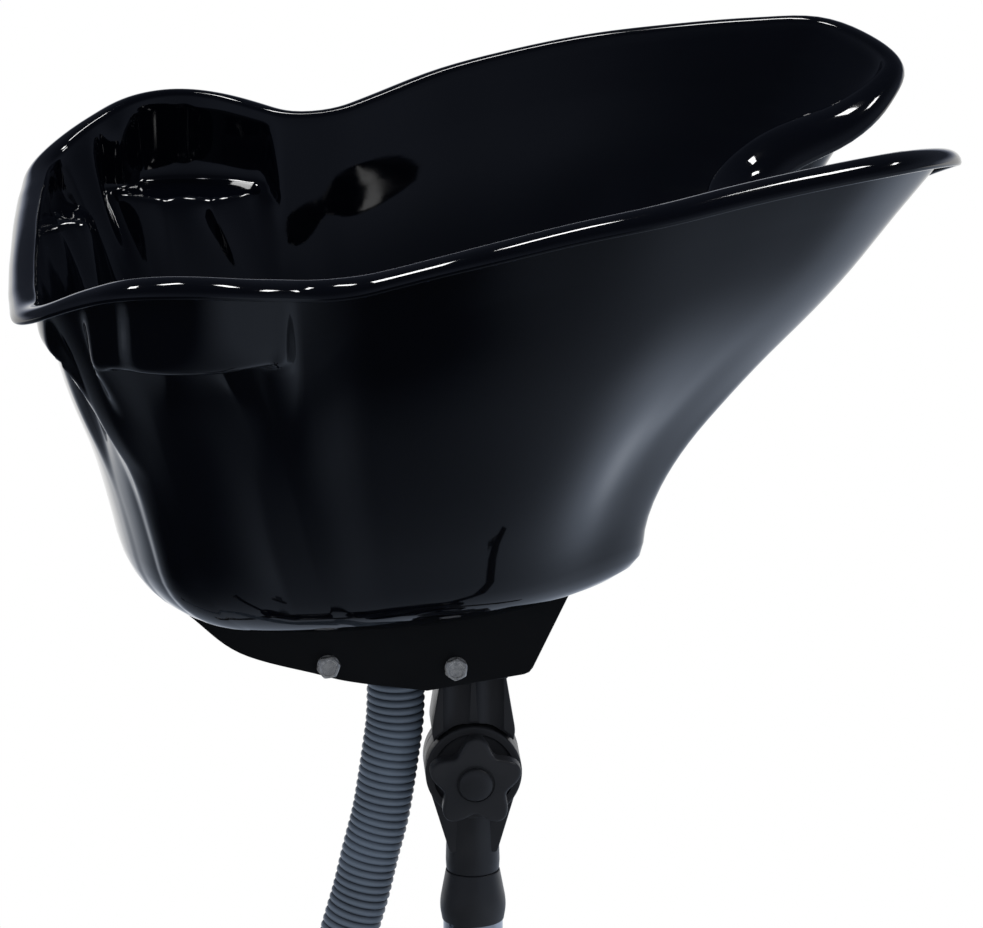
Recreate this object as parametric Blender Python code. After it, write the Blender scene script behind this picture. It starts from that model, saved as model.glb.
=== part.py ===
"""Portable shampoo basin: a moulded bowl on a tilting, telescopic stand with casters.

Metres, +Z up, the floor at zero. The bowl's middle stands over the origin, its neck rest points
to +X, and the post stands a little behind the middle.
"""
import math

import bmesh
import bpy
import numpy as np
from mathutils import Matrix, Vector
from mathutils.bvhtree import BVHTree

# General clearances
SEAT_GAP = 0.0003            # between pieces that touch
OVERRUN = 0.004              # how far a cutter runs past what it cuts

# Bowl: the rim's crest, seen from above and from the side
RIM_HEIGHT = 0.950           # the dip in the side of the rim, above the floor, post lowered
CREST_REACH = 0.2825         # from the bowl's middle to the tip of each wing
CREST_HALF_WIDTH = 0.247
WING_RISE = 0.0716           # the wings' highest point above the dip
WALL = 0.0035                # sheet thickness
# One half of the crest, from the back's middle to the neck's middle. Each row has the place
# along X, the place along Y, the height, and where on the floor's outline the wall comes down,
# as shares of the reach, the half width, the rise, and half a turn.
CREST_SHARES = (
    (-0.993, 0.000, -0.300, 1.000),
    (-0.991, 0.220, -0.300, 0.922),
    (-0.989, 0.400, -0.300, 0.860),
    (-0.987, 0.505, -0.300, 0.827),
    (-0.984, 0.590, -0.300, 0.800),
    (-0.980, 0.680, -0.300, 0.773),
    (-0.970, 0.745, -0.290, 0.755),
    (-0.955, 0.795, -0.262, 0.742),
    (-0.937, 0.835, -0.215, 0.732),
    (-0.915, 0.873, -0.165, 0.722),
    (-0.893, 0.912, -0.098, 0.711),
    (-0.869, 0.947, -0.028, 0.700),
    (-0.838, 0.974, 0.034, 0.687),
    (-0.798, 0.990, 0.084, 0.672),
    (-0.735, 1.000, 0.118, 0.650),
    (-0.664, 1.000, 0.126, 0.628),
    (-0.605, 0.985, 0.103, 0.608),
    (-0.550, 0.964, 0.070, 0.589),
    (-0.512, 0.945, 0.045, 0.577),
    (-0.478, 0.926, 0.025, 0.566),
    (-0.445, 0.910, 0.009, 0.556),
    (-0.409, 0.899, 0.000, 0.544),
    (-0.290, 0.905, 0.050, 0.502),
    (-0.196, 0.939, 0.168, 0.467),
    (-0.019, 0.996, 0.391, 0.406),
    (0.158, 1.000, 0.559, 0.350),
    (0.335, 0.988, 0.705, 0.294),
    (0.512, 0.927, 0.838, 0.244),
    (0.688, 0.858, 0.950, 0.200),
    (0.830, 0.781, 1.000, 0.161),
    (0.936, 0.632, 0.936, 0.128),
    (1.000, 0.486, 0.810, 0.100),
    (0.954, 0.405, 0.601, 0.083),
    (0.848, 0.352, 0.391, 0.069),
    (0.724, 0.304, 0.182, 0.056),
    (0.640, 0.225, 0.010, 0.038),
    (0.590, 0.110, -0.120, 0.018),
    (0.575, 0.000, -0.168, 0.000),
)
TIP_ROW = 31                 # the wing's tip among those rows
NECK_ROWS = 3.0              # rows over which the flange widens into the neck rest
NECK_WALL_ROWS = 5.0         # rows over which the wall takes the neck's section
STEPS_PER_ROW = 1

# Bowl: the rolled flange outside the crest
FLANGE_REACH = 0.0150
FLANGE_DROP = 0.0085
BACK_FLANGE_REACH = 0.0115
BACK_FLANGE_DROP = 0.0140
TIP_FLANGE_REACH = 0.0100
NECK_FLANGE_REACH = 0.0260
NECK_FLANGE_DROP = 0.0220
CREST_ROUND = 0.0050         # the crest's rounding on the inside
UPPER_WALL_DROP = 0.0200     # from the crest down to where the wall proper starts

# Bowl: side shelves for bottles and small ledges in the back corners
SHELF_DROP = 0.0500          # shelf below the rim's dip
SHELF_DEPTH = 0.0450
SHELF_BACK = -0.2530
SHELF_FRONT = -0.1080
SHELF_BLEND = 0.0370         # length over which each end of the shelf rounds in
LEDGE_DEPTH = 0.0260
LEDGE_INNER = 0.1250
LEDGE_OUTER = 0.2080
LEDGE_BLEND = 0.0180
SHELF_ROUND = 0.0070
UPPER_DRAFT = 0.0060         # how far the upper wall leans in by shelf height
SHELF_SPREAD = 0.0450        # length over which the shelves' steps even out in the wall below
SHELF_FADE_SHARE = 0.5       # share of the wall's depth by which they have evened out

# Bowl: floor and drain seat
DRAIN_X = -0.0535
FLOOR_HALF_LENGTH = 0.1080
FLOOR_HALF_WIDTH = 0.1180
FLOOR_DISH = 0.0060          # floor's back edge above the drain's seat
FLOOR_FRONT_RISE = 0.0140
FLOOR_SQUARENESS = 2.6       # exponent of the floor's outline
DRAIN_DROP = 0.2645
DRAIN_HOLE_RADIUS = 0.0220
DRAIN_SEAT_RADIUS = 0.0370

# The wall between shelf height and floor: depth shares, and how far in the wall has come at each
WALL_DEPTH_SHARES = (0.20, 0.42, 0.62, 0.80, 0.93, 1.00)
SIDE_WALL_SHARES = (0.133, 0.28, 0.405, 0.56, 0.76, 1.00)
WING_WALL_SHARES = (0.18, 0.434, 0.645, 0.756, 0.87, 1.00)
NECK_WALL_SHARES = (0.083, 0.20, 0.366, 0.516, 0.745, 1.00)

# Cradle under the bowl
CHEEK_FACE = 0.0605          # inner face of each cheek, from the middle
CHEEK_THICKNESS = 0.0025
WEB_DROP = 0.0315            # top of the web below the drain's seat
WEB_BACK = -0.0860
WEB_FRONT = 0.0180
WEB_HOLE_GAP = 0.0050         # round the hose
CHEEK_BACK = -0.1835
CHEEK_FRONT = 0.0520
CHEEK_TOE = 0.0275           # where the front edge meets the lower edge
CHEEK_TOE_RISE = 0.0010      # the toe above the web's top
CHEEK_LOW = -0.0365
CHEEK_LOW_DROP = 0.0090      # the lowest point below the web's top
CHEEK_CURVE_STEPS = 6
CHEEK_TOP_STEPS = 16
BOLT_PLACES = ((-0.0975, 0.0090), (-0.0185, 0.0060))   # X, and the height above the web's top
BOSS_LENGTH = 0.0240
BOSS_BACK = 0.0025           # material behind the end of each bolt's hole
BOSS_EMBED = 0.0018          # how far a boss runs into the floor's sheet

# Bolts and screws
BOLT_RADIUS = 0.0040
BOLT_HEAD_FLATS = 0.0130
BOLT_HEAD_HEIGHT = 0.0053
BOLT_FLANGE_RADIUS = 0.0078
BOLT_FLANGE_THICKNESS = 0.0012
BOLT_LENGTH = 0.0160
SCREW_RADIUS = 0.0025
SCREW_HEAD_RADIUS = 0.0048
SCREW_HEAD_HEIGHT = 0.0030
SCREW_LENGTH = 0.0060
SCREW_SPREAD = 0.0440        # each jaw screw from the middle

# Drain hose
HOSE_RADIUS = 0.0185
HOSE_RIB_DEPTH = 0.0019
HOSE_WALL = 0.0011
HOSE_VALLEY_RADIUS = HOSE_RADIUS - HOSE_RIB_DEPTH
HOSE_BORE_RADIUS = HOSE_VALLEY_RADIUS - HOSE_WALL
HOSE_RIBS = 126
HOSE_PLAIN = 0.0180          # smooth stretch at each end
HOSE_SIDES = 8
HOSE_BORE_STEPS = 44
CLAMP_BAND_THICKNESS = 0.0010
CLAMP_BAND_WIDTH = 0.0100
CLAMP_SCREW_LENGTH = 0.0140
CLAMP_SCREW_SIZE = 0.0070
CUFF_THICKNESS = 0.0025
CUFF_LENGTH = 0.0450
CUFF_SHY = 0.0040            # how far the cuff stays short of the first rib
# Drain fittings
DRAIN_FLANGE_RADIUS = DRAIN_SEAT_RADIUS - 0.0030
DRAIN_FLANGE_THICKNESS = 0.0020
DRAIN_BORE_RADIUS = DRAIN_HOLE_RADIUS - 0.0030
DRAIN_THREAD_LENGTH = 0.0150
SPIGOT_BARB = 0.0003
SPIGOT_WALL = 0.0017
SPIGOT_RADIUS = HOSE_BORE_RADIUS * math.cos(math.pi / HOSE_SIDES) - SPIGOT_BARB - SEAT_GAP
SPIGOT_BORE_RADIUS = SPIGOT_RADIUS - SPIGOT_WALL
SPIGOT_LENGTH = 0.0300
SPIGOT_LEAD = 0.0040          # length of the barb's lead-in and of the bore's funnel
GASKET_THICKNESS = 0.0020
GASKET_RADIUS = DRAIN_HOLE_RADIUS + 0.0110
LOCKNUT_THICKNESS = 0.0080
LOCKNUT_RADIUS = DRAIN_HOLE_RADIUS + 0.0100
GRID_THICKNESS = 0.0015
GRID_LEDGE = 0.0020           # width of the ledge that the grid lies on
GRID_HOLE_RADIUS = 0.0032
GRID_RING_RADIUS = 0.6 * DRAIN_BORE_RADIUS
GRID_HOLES = 6

# The hose's route below its exit, chosen by hand: it hangs beside the post, leans back, and its
# tail lies on the floor.
HOSE_ROUTE = (
    (-0.0535, 0.000, 0.6285),
    (-0.0544, 0.000, 0.6060),
    (-0.0572, 0.000, 0.5855),
    (-0.0607, 0.000, 0.5625),
    (-0.0642, 0.000, 0.5430),
    (-0.0709, 0.000, 0.5170),
    (-0.0766, 0.000, 0.4930),
    (-0.0824, 0.000, 0.4730),
    (-0.1010, 0.000, 0.4100),
    (-0.1230, 0.002, 0.3400),
    (-0.1460, 0.006, 0.2700),
    (-0.1710, 0.011, 0.2020),
    (-0.2030, 0.018, 0.1380),
    (-0.2450, 0.027, 0.0840),
    (-0.2980, 0.040, 0.0425),
    (-0.3570, 0.057, 0.0222),
    (-0.4160, 0.080, 0.0192),
    (-0.4700, 0.109, 0.0198),
    (-0.5180, 0.144, 0.0218),
)

# Tilting hinge, on a plug that fills the inner post
INNER_POST_RADIUS = 0.0190
INNER_POST_WALL = 0.0029
TILT_DROP = 0.0780           # tilt axis below the web's top
POST_X = -0.0055
JAW_FLANGE_THICKNESS = 0.0030
JAW_FLANGE_HALF_LENGTH = 0.0200
JAW_FLANGE_HALF_WIDTH = SCREW_SPREAD + 0.0080
JAW_HALF_DEPTH = 0.0205
JAW_TOP_HALF_WIDTH = 0.0190
JAW_SHOULDER_HALF_WIDTH = 0.0268
JAW_SHOULDER_RISE = 0.0250
DISC_RADIUS = 0.0305
DISC_GAP = 0.0020
DISC_CLEAR_RADIUS = DISC_RADIUS + DISC_GAP
TONGUE_HALF_DEPTH = 0.0080
RIB_HALF_WIDTH = 0.0015
RIB_HEIGHT = 0.0025
SOCKET_RADIUS = 0.0170
SOCKET_TOP_DROP = 0.0120     # top of the socket's round part below the tilt axis
FIN_HALF_DEPTH = 0.0125
FIN_DROP = 0.0550
SOCKET_DROP = 0.0706         # the socket's shoulder below the tilt axis
SPIGOT_PLUG_RADIUS = INNER_POST_RADIUS - INNER_POST_WALL - SEAT_GAP
SPIGOT_PLUG_LENGTH = 0.0600
TILT_BOLT_RADIUS = 0.0040
TILT_HOLE_RADIUS = TILT_BOLT_RADIUS + SEAT_GAP
WASHER_RADIUS = 0.0120
WASHER_THICKNESS = 0.0020

# Star knobs
KNOB_RADIUS = 0.0298
KNOB_WAIST_RADIUS = 0.0222
KNOB_LOBES = 5
KNOB_STEPS = 35
KNOB_THICKNESS = 0.0130
KNOB_EDGE = 0.0018
KNOB_HUB_RADIUS = 0.0140
KNOB_HUB_LENGTH = 0.0060
KNOB_CAP_RADIUS = 0.0105
KNOB_CAP_HEIGHT = 0.0045
KNOB_TURN = math.radians(4.0)
KNOB_SOCKET_DEPTH = 0.0160

# Post
COLLAR_TOP_RADIUS = 0.0174
COLLAR_WIDE_RADIUS = INNER_POST_RADIUS + 0.0025
COLLAR_FOOT_RADIUS = INNER_POST_RADIUS + 0.0009
COLLAR_HEIGHT = 0.0330
COLLAR_WIDE_DROP = 0.0225
COLLAR_CAP_THICKNESS = 0.0140
COLLAR_EDGE = 0.0020
POST_FOOT_GAP = 0.0107       # inner post's foot above the base plate, fully lowered
POST_SHOWING = 0.0571        # chromed post showing below the collar, fully lowered
OUTER_POST_WALL = 0.0020
BUSH_THICKNESS = 0.0040
OUTER_POST_RADIUS = INNER_POST_RADIUS + BUSH_THICKNESS + OUTER_POST_WALL
BUSH_LENGTH = 0.0500
BUSH_FLANGE = 0.0030
GLIDE_LENGTH = 0.0300
GLIDE_LIP = 0.0020
CLAMP_BODY_RADIUS = OUTER_POST_RADIUS + 0.0070
CLAMP_BODY_HEIGHT = 0.0380
CLAMP_BODY_TOP_OFFSET = 0.0040
CLAMP_BOSS_RADIUS = 0.0110
CLAMP_BOSS_REACH = CLAMP_BODY_RADIUS + 0.0100

# Base
PLATE_RADIUS = 0.0720
PLATE_THICKNESS = 0.0050
HUB_BLOCK_HALF = 0.0220
SLEEVE_RADIUS = OUTER_POST_RADIUS + 0.0050
SLEEVE_HEIGHT = 0.0350
LEG_COUNT = 4
LEG_WIDTH = 0.0300
LEG_HEIGHT = 0.0250
LEG_WALL = 0.0015
LEG_REACH = 0.3050
LEG_BOLT_REACH = PLATE_RADIUS - 0.0200
LEG_BOLT_LENGTH = 0.0180
END_CAP_THICKNESS = 0.0030
END_CAP_INSERT = 0.0100

# Casters
CASTER_INSET = 0.0230         # swivel axis behind the leg's end
CASTER_REACH = LEG_REACH - CASTER_INSET
CASTER_TRAIL = 0.0180
WHEEL_RADIUS = 0.0250
WHEEL_HALF_WIDTH = 0.0095
WHEEL_SIDES = 16
WHEEL_HUB_RADIUS = 0.0100
WHEEL_HUB_HALF_WIDTH = 0.0108
WHEEL_RIM_RADIUS = WHEEL_RADIUS - 0.0060
WHEEL_WEB_HALF_WIDTH = 0.0060
AXLE_RADIUS = 0.0040
AXLE_HEAD_RADIUS = 0.0060
AXLE_HEAD_THICKNESS = 0.0020
FORK_GAP = 0.0004            # each side of the wheel's hub
FORK_FACE = WHEEL_HUB_HALF_WIDTH + FORK_GAP
FORK_PLATE = 0.0023
FORK_TOP = 2.0 * WHEEL_RADIUS + 0.0080
FORK_TOP_THICKNESS = 0.0040
FORK_FOOT_RADIUS = 0.0085
FORK_HEAD_HALF = 0.0150
STEM_RADIUS = 0.0050
CASTER_NECK = 0.0060         # between the fork and the leg
STEM_LENGTH = 0.0200
STEM_COLLAR_RADIUS = 0.0110

ROUND_SIDES = 18
SMALL_SIDES = 10
HEX_SIDES = 6
LOCKNUT_SIDES = 8
MERGE_DISTANCE = 0.000001
HALF_SIDE_TURN = math.pi / SMALL_SIDES
LEG_ANGLE = math.radians(45.0)

# Heights that follow from the sizes above
LEG_BOTTOM = FORK_TOP + CASTER_NECK
STEM_TOP = LEG_BOTTOM + STEM_LENGTH
RIM_Z = RIM_HEIGHT
SHELF_Z = RIM_Z - SHELF_DROP
DRAIN_Z = RIM_Z - DRAIN_DROP
WEB_TOP = DRAIN_Z - WEB_DROP
WEB_BOTTOM = WEB_TOP - CHEEK_THICKNESS
TILT_Z = WEB_TOP - TILT_DROP
SOCKET_Z = TILT_Z - SOCKET_DROP
LEG_TOP = LEG_BOTTOM + LEG_HEIGHT
PLATE_TOP = LEG_TOP + SEAT_GAP + PLATE_THICKNESS
INNER_POST_BOTTOM = PLATE_TOP + POST_FOOT_GAP
OUTER_POST_TOP = SOCKET_Z - SEAT_GAP - COLLAR_HEIGHT - POST_SHOWING


def clear_scene():
    """Removes every object and mesh that the file came with."""
    for thing in list(bpy.data.objects):
        bpy.data.objects.remove(thing, do_unlink=True)
    for mesh in list(bpy.data.meshes):
        bpy.data.meshes.remove(mesh)


def material(name, colour, roughness, metallic=0.0):
    """A plain Principled material."""
    made = bpy.data.materials.new(name)
    made.use_nodes = True
    shader = made.node_tree.nodes["Principled BSDF"]
    shader.inputs["Base Color"].default_value = (*colour, 1.0)
    shader.inputs["Roughness"].default_value = roughness
    shader.inputs["Metallic"].default_value = metallic
    return made


def add_object(name, mesh, surface, smooth_angle=math.radians(35.0)):
    """Links a mesh as a named object with one material, round faces shaded smooth."""
    thing = bpy.data.objects.new(name, mesh)
    bpy.context.collection.objects.link(thing)
    if surface is not None:
        mesh.materials.clear()
        mesh.materials.append(surface)
    mesh.shade_smooth()
    mesh.set_sharp_from_angle(angle=smooth_angle)
    return thing


def mesh_from(points, faces, name="shape"):
    """A mesh from points and faces, its faces turned outward."""
    mesh = bpy.data.meshes.new(name)
    mesh.from_pydata([tuple(p) for p in points], [], faces)
    work = bmesh.new()
    work.from_mesh(mesh)
    bmesh.ops.recalc_face_normals(work, faces=work.faces)
    work.to_mesh(mesh)
    work.free()
    return mesh


def lathe(profile, sides=ROUND_SIDES, turn=0.0):
    """Turns a closed (radius, height) profile about Z. Points on the axis become poles."""
    points, rings = [], []
    for radius, height in profile:
        if radius <= 0.0:
            rings.append([len(points)])
            points.append((0.0, 0.0, height))
            continue
        rings.append([len(points) + k for k in range(sides)])
        for k in range(sides):
            angle = turn + math.tau * k / sides
            points.append((radius * math.cos(angle), radius * math.sin(angle), height))
    faces = []
    for here, after in zip(rings, rings[1:] + rings[:1]):
        if len(here) == 1 and len(after) == 1:
            continue
        for k in range(sides):
            n = (k + 1) % sides
            if len(here) == 1:
                faces.append((here[0], after[k], after[n]))
            elif len(after) == 1:
                faces.append((here[k], here[n], after[0]))
            else:
                faces.append((here[k], here[n], after[n], after[k]))
    return mesh_from(points, faces)


def cylinder(radius, low, high, sides=ROUND_SIDES, turn=0.0):
    """A solid cylinder along Z between two heights."""
    return lathe([(0.0, low), (radius, low), (radius, high), (0.0, high)], sides, turn)


def prism(outline, low, high):
    """A flat outline in X and Z, extruded along Y between two places."""
    count = len(outline)
    points = [(x, low, z) for x, z in outline] + [(x, high, z) for x, z in outline]
    faces = [tuple(range(count)), tuple(range(count, 2 * count))]
    for k in range(count):
        n = (k + 1) % count
        faces.append((k, n, count + n, count + k))
    return mesh_from(points, faces)


def box(low, high):
    """An upright box between two corners."""
    outline = [(low[0], low[2]), (high[0], low[2]), (high[0], high[2]), (low[0], high[2])]
    return prism(outline, low[1], high[1])


def along_y(mesh):
    """Turns a mesh made along Z so that it lies along -Y."""
    mesh.transform(Matrix.Rotation(math.pi / 2.0, 4, "X"))
    return mesh


def moved(mesh, offset):
    """Shifts a mesh and returns it."""
    mesh.transform(Matrix.Translation(offset))
    return mesh


def combine(base, others, operation):
    """Joins or cuts meshes one by one with an exact Boolean and returns the new mesh."""
    result = base
    for other in others:
        carrier = bpy.data.objects.new("carrier", result)
        helper = bpy.data.objects.new("helper", other)
        helper.hide_render = True
        helper.display_type = "WIRE"
        for thing in (carrier, helper):
            bpy.context.collection.objects.link(thing)
        modifier = carrier.modifiers.new("step", "BOOLEAN")
        modifier.operation = operation
        modifier.solver = "EXACT"
        modifier.object = helper
        graph = bpy.context.evaluated_depsgraph_get()
        result = bpy.data.meshes.new_from_object(carrier.evaluated_get(graph))
        for thing in (carrier, helper):
            bpy.data.objects.remove(thing, do_unlink=True)
        work = bmesh.new()
        work.from_mesh(result)
        bmesh.ops.remove_doubles(work, verts=work.verts, dist=MERGE_DISTANCE)
        bmesh.ops.dissolve_degenerate(work, edges=work.edges, dist=MERGE_DISTANCE)
        work.to_mesh(result)
        work.free()
    return result


def union(base, *others):
    """Joins meshes into one body."""
    return combine(base, others, "UNION")


def cut(base, *others):
    """Cuts meshes out of a body."""
    return combine(base, others, "DIFFERENCE")


def smooth_curve(rows, steps):
    """Points on a Catmull-Rom curve through the rows, each row kept, ends held."""
    rows = np.asarray(rows, dtype=float)
    padded = np.vstack([2.0 * rows[0] - rows[1], rows, 2.0 * rows[-1] - rows[-2]])
    points = []
    for k in range(1, len(padded) - 2):
        before, start, end, after = padded[k - 1:k + 3]
        for t in np.arange(steps) / steps:
            points.append(0.5 * (2.0 * start + (end - before) * t
                                 + (2.0 * before - 5.0 * start + 4.0 * end - after) * t ** 2
                                 + (3.0 * start - before - 3.0 * end + after) * t ** 3))
    points.append(rows[-1])
    return np.array(points)


def ease(value):
    """A smooth step from 0 to 1."""
    value = np.clip(value, 0.0, 1.0)
    return value * value * (3.0 - 2.0 * value)


def crest_stations():
    """The crest all round: place, floor angle and how far along the half outline it lies."""
    rows = np.array(CREST_SHARES)
    mirrored = rows[1:4][::-1] * np.array([1.0, -1.0, 1.0, -1.0])
    mirrored[:, 3] += 2.0
    front = rows[-4:-1][::-1] * np.array([1.0, -1.0, 1.0, -1.0])
    lead, tail = len(mirrored), len(front)
    curve = smooth_curve(np.vstack([mirrored, rows, front]), STEPS_PER_ROW)
    half = curve[lead * STEPS_PER_ROW:len(curve) - tail * STEPS_PER_ROW]
    row_of = np.arange(len(half)) / STEPS_PER_ROW
    half = np.column_stack([half, row_of])
    other = half[1:-1][::-1].copy()
    other[:, 1] *= -1.0
    other[:, 3] *= -1.0
    return np.vstack([half, other])


def plan_normals(points):
    """Outward normals, seen from above, of a closed outline that runs clockwise."""
    step = np.roll(points, -1, axis=0) - np.roll(points, 1, axis=0)
    normals = np.column_stack([-step[:, 1], step[:, 0]])
    return normals / np.linalg.norm(normals, axis=1)[:, None]


def evened(values, outline, spread):
    """Averages values along a closed outline, so that steps in them fade."""
    steps = np.linalg.norm(np.roll(outline, -1, axis=0) - outline, axis=1)
    places = np.cumsum(steps) - steps
    gaps = np.abs(places[:, None] - places[None, :])
    gaps = np.minimum(gaps, steps.sum() - gaps)
    weights = np.exp(-(gaps / spread) ** 2) * (steps + np.roll(steps, 1))[None, :]
    return weights @ values / weights.sum(axis=1)


def sheet_rings():
    """The bowl's inner surface as rings, from the drain hole out and over to the flange's lip.

    The crest outline drives all: the wall drops from it to shelf height, steps in where a shelf
    or ledge is, and runs on down to the floor's outline along a blend of three wall sections.
    """
    stations = crest_stations()
    crest = np.column_stack([stations[:, 0] * CREST_REACH, stations[:, 1] * CREST_HALF_WIDTH])
    crest_z = RIM_Z + stations[:, 2] * WING_RISE
    floor_angle = stations[:, 3] * math.pi
    row = stations[:, 4]
    outward = plan_normals(crest)
    x_place, y_place = crest[:, 0], np.abs(crest[:, 1])

    behind = ease(TIP_ROW - row)
    shelf = ease((x_place - SHELF_BACK) / SHELF_BLEND) * ease((SHELF_FRONT - x_place) / SHELF_BLEND)
    ledge = ease((y_place - LEDGE_INNER) / LEDGE_BLEND) * ease((LEDGE_OUTER - y_place) / LEDGE_BLEND)
    ledge = ledge * ease((SHELF_BACK - x_place) / SHELF_BLEND + 0.5)
    inset = (shelf * SHELF_DEPTH + ledge * LEDGE_DEPTH) * behind
    flat_drop = crest_z - SHELF_Z
    level = ease((SHELF_FRONT - x_place) / SHELF_BLEND + 1.0)
    level = level * ease((y_place - LEDGE_INNER) / LEDGE_BLEND + 1.0) * behind
    pocket = np.clip(inset / LEDGE_DEPTH, 0.0, 1.0)
    shoulder = flat_drop * level + (UPPER_WALL_DROP + SHELF_ROUND) * (1.0 - level)

    back = ease((SHELF_BACK - x_place) / SHELF_BLEND)
    in_neck = ease((row - TIP_ROW) / NECK_ROWS)
    at_tip = ease(1.0 - np.abs(row - TIP_ROW) / NECK_ROWS)
    reach = FLANGE_REACH + (BACK_FLANGE_REACH - FLANGE_REACH) * back
    reach = reach + (TIP_FLANGE_REACH - FLANGE_REACH) * at_tip * (1.0 - in_neck)
    reach = reach + (NECK_FLANGE_REACH - FLANGE_REACH) * in_neck
    drop = FLANGE_DROP + (BACK_FLANGE_DROP - FLANGE_DROP) * back
    drop = drop + (NECK_FLANGE_DROP - FLANGE_DROP) * in_neck

    def ring(out, down):
        plan = crest + outward * np.asarray(out).reshape(-1, 1)
        return np.column_stack([plan, crest_z - down])

    zeros = np.zeros(len(crest))
    upper = []
    for turn in (math.pi / 2.0, math.pi / 4.0):
        upper.append(ring(math.sin(turn) * reach, (1.0 - math.cos(turn)) * drop))
    upper.append(ring(zeros, zeros))
    upper.append(ring(zeros - CREST_ROUND * 0.8, zeros + CREST_ROUND * 0.6))
    upper.append(ring(zeros - UPPER_DRAFT - 0.1 * SHELF_ROUND * pocket, shoulder - SHELF_ROUND * 0.8))
    upper.append(ring(zeros - UPPER_DRAFT - SHELF_ROUND * pocket, shoulder))
    edge = ring(-UPPER_DRAFT - np.maximum(inset - SHELF_ROUND, SHELF_ROUND * 1.1 * pocket), shoulder)
    upper.append(edge - np.array([0.0, 0.0, 1.0]) * ((1.0 - pocket) * SHELF_ROUND)[:, None])
    start = ring(-UPPER_DRAFT - np.maximum(inset, SHELF_ROUND * 1.6 * pocket), shoulder + SHELF_ROUND)
    start = start - np.array([0.0, 0.0, 1.0]) * ((1.0 - pocket) * SHELF_ROUND)[:, None]
    upper.append(start)

    cosine, sine = np.cos(floor_angle), np.sin(floor_angle)
    power = 2.0 / FLOOR_SQUARENESS
    floor_plan = np.column_stack([DRAIN_X + FLOOR_HALF_LENGTH * np.sign(cosine) * np.abs(cosine) ** power,
                                  FLOOR_HALF_WIDTH * np.sign(sine) * np.abs(sine) ** power])
    front_share = (floor_plan[:, 0] - DRAIN_X + FLOOR_HALF_LENGTH) / (2.0 * FLOOR_HALF_LENGTH)
    floor_edge = np.column_stack([floor_plan, DRAIN_Z + FLOOR_DISH + FLOOR_FRONT_RISE * front_share])

    wing = ease((x_place - 0.2 * CREST_REACH) / (0.5 * CREST_REACH))[:, None]
    neck = ease((row - TIP_ROW) / NECK_WALL_ROWS)[:, None]
    side_row = np.array(SIDE_WALL_SHARES)[None, :]
    wing_row = np.array(WING_WALL_SHARES)[None, :]
    neck_row = np.array(NECK_WALL_SHARES)[None, :]
    inward = side_row * (1.0 - wing) + wing_row * wing
    inward = inward * (1.0 - neck) + neck_row * neck

    even = crest - outward * (UPPER_DRAFT + evened(inset, crest, SHELF_SPREAD))[:, None]
    lower = []
    for k, depth in enumerate(WALL_DEPTH_SHARES):
        top = start[:, :2] + (even - start[:, :2]) * ease(depth / SHELF_FADE_SHARE)
        plan = top + (floor_edge[:, :2] - top) * inward[:, k:k + 1]
        height = start[:, 2] + (floor_edge[:, 2] - start[:, 2]) * depth
        lower.append(np.column_stack([plan, height]))

    def drain_ring(radius):
        return np.column_stack([DRAIN_X + radius * cosine, radius * sine, zeros + DRAIN_Z])

    seat = drain_ring(DRAIN_SEAT_RADIUS)
    lower.append((seat + floor_edge) / 2.0)
    lower.append(seat)
    lower.append(drain_ring(DRAIN_HOLE_RADIUS))
    return np.array(upper + lower)


def grid_normals(rings):
    """Unit normals of the rings' surface, pointing to the sheet's back."""
    around = np.roll(rings, -1, axis=1) - np.roll(rings, 1, axis=1)
    along = np.gradient(rings, axis=0)
    normals = np.cross(around, along)
    normals /= np.linalg.norm(normals, axis=2)[:, :, None]
    normals = 2.0 * normals + np.roll(normals, 1, axis=1) + np.roll(normals, -1, axis=1)
    return normals / np.linalg.norm(normals, axis=2)[:, :, None]


def basin_shell(surface):
    """The moulded bowl: one sheet of even thickness with four bolt bosses under its floor."""
    front = sheet_rings()
    normals = grid_normals(front)
    normals[-2:] = (0.0, 0.0, -1.0)
    backs = front + normals * WALL
    loop = np.vstack([front, backs[::-1]])
    count, around = loop.shape[0], loop.shape[1]
    faces = []
    for i in range(count):
        for j in range(around):
            a, b = i * around, ((i + 1) % count) * around
            n = (j + 1) % around
            if i < len(front):
                faces += [(a + j, a + n, b + n), (a + j, b + n, b + j)]
            else:
                faces += [(a + j, a + n, b + j), (a + n, b + n, b + j)]
    sheet = mesh_from(loop.reshape(-1, 3), faces, "basin_shell")
    under = BVHTree.FromPolygons([tuple(p) for p in loop.reshape(-1, 3)], faces)
    bosses, holes = [], []
    hole_depth = BOLT_LENGTH - CHEEK_THICKNESS
    for x, rise in BOLT_PLACES:
        for side in (-1.0, 1.0):
            inner = side * (CHEEK_FACE - SEAT_GAP - hole_depth - BOSS_BACK)
            outer = side * (CHEEK_FACE - SEAT_GAP)
            middle = (inner + outer) / 2.0
            top = underside(under, x, middle) + BOSS_EMBED
            bosses.append(box((x - BOSS_LENGTH / 2.0, min(inner, outer), WEB_TOP + SEAT_GAP),
                              (x + BOSS_LENGTH / 2.0, max(inner, outer), top)))
            hole = along_y(cylinder(BOLT_RADIUS + SEAT_GAP, -hole_depth, OVERRUN, SMALL_SIDES))
            if side > 0.0:
                hole.transform(Matrix.Rotation(math.pi, 4, "Z"))
            holes.append(moved(hole, (x, outer, WEB_TOP + rise)))
    solid = cut(union(sheet, *bosses), *holes)
    return add_object("basin_shell", solid, surface), under


def underside(tree, x, y):
    """Height of the bowl's underside over a place, found from below."""
    hit = tree.ray_cast(Vector((x, y, 0.0)), Vector((0.0, 0.0, 1.0)))
    return hit[0].z


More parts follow.
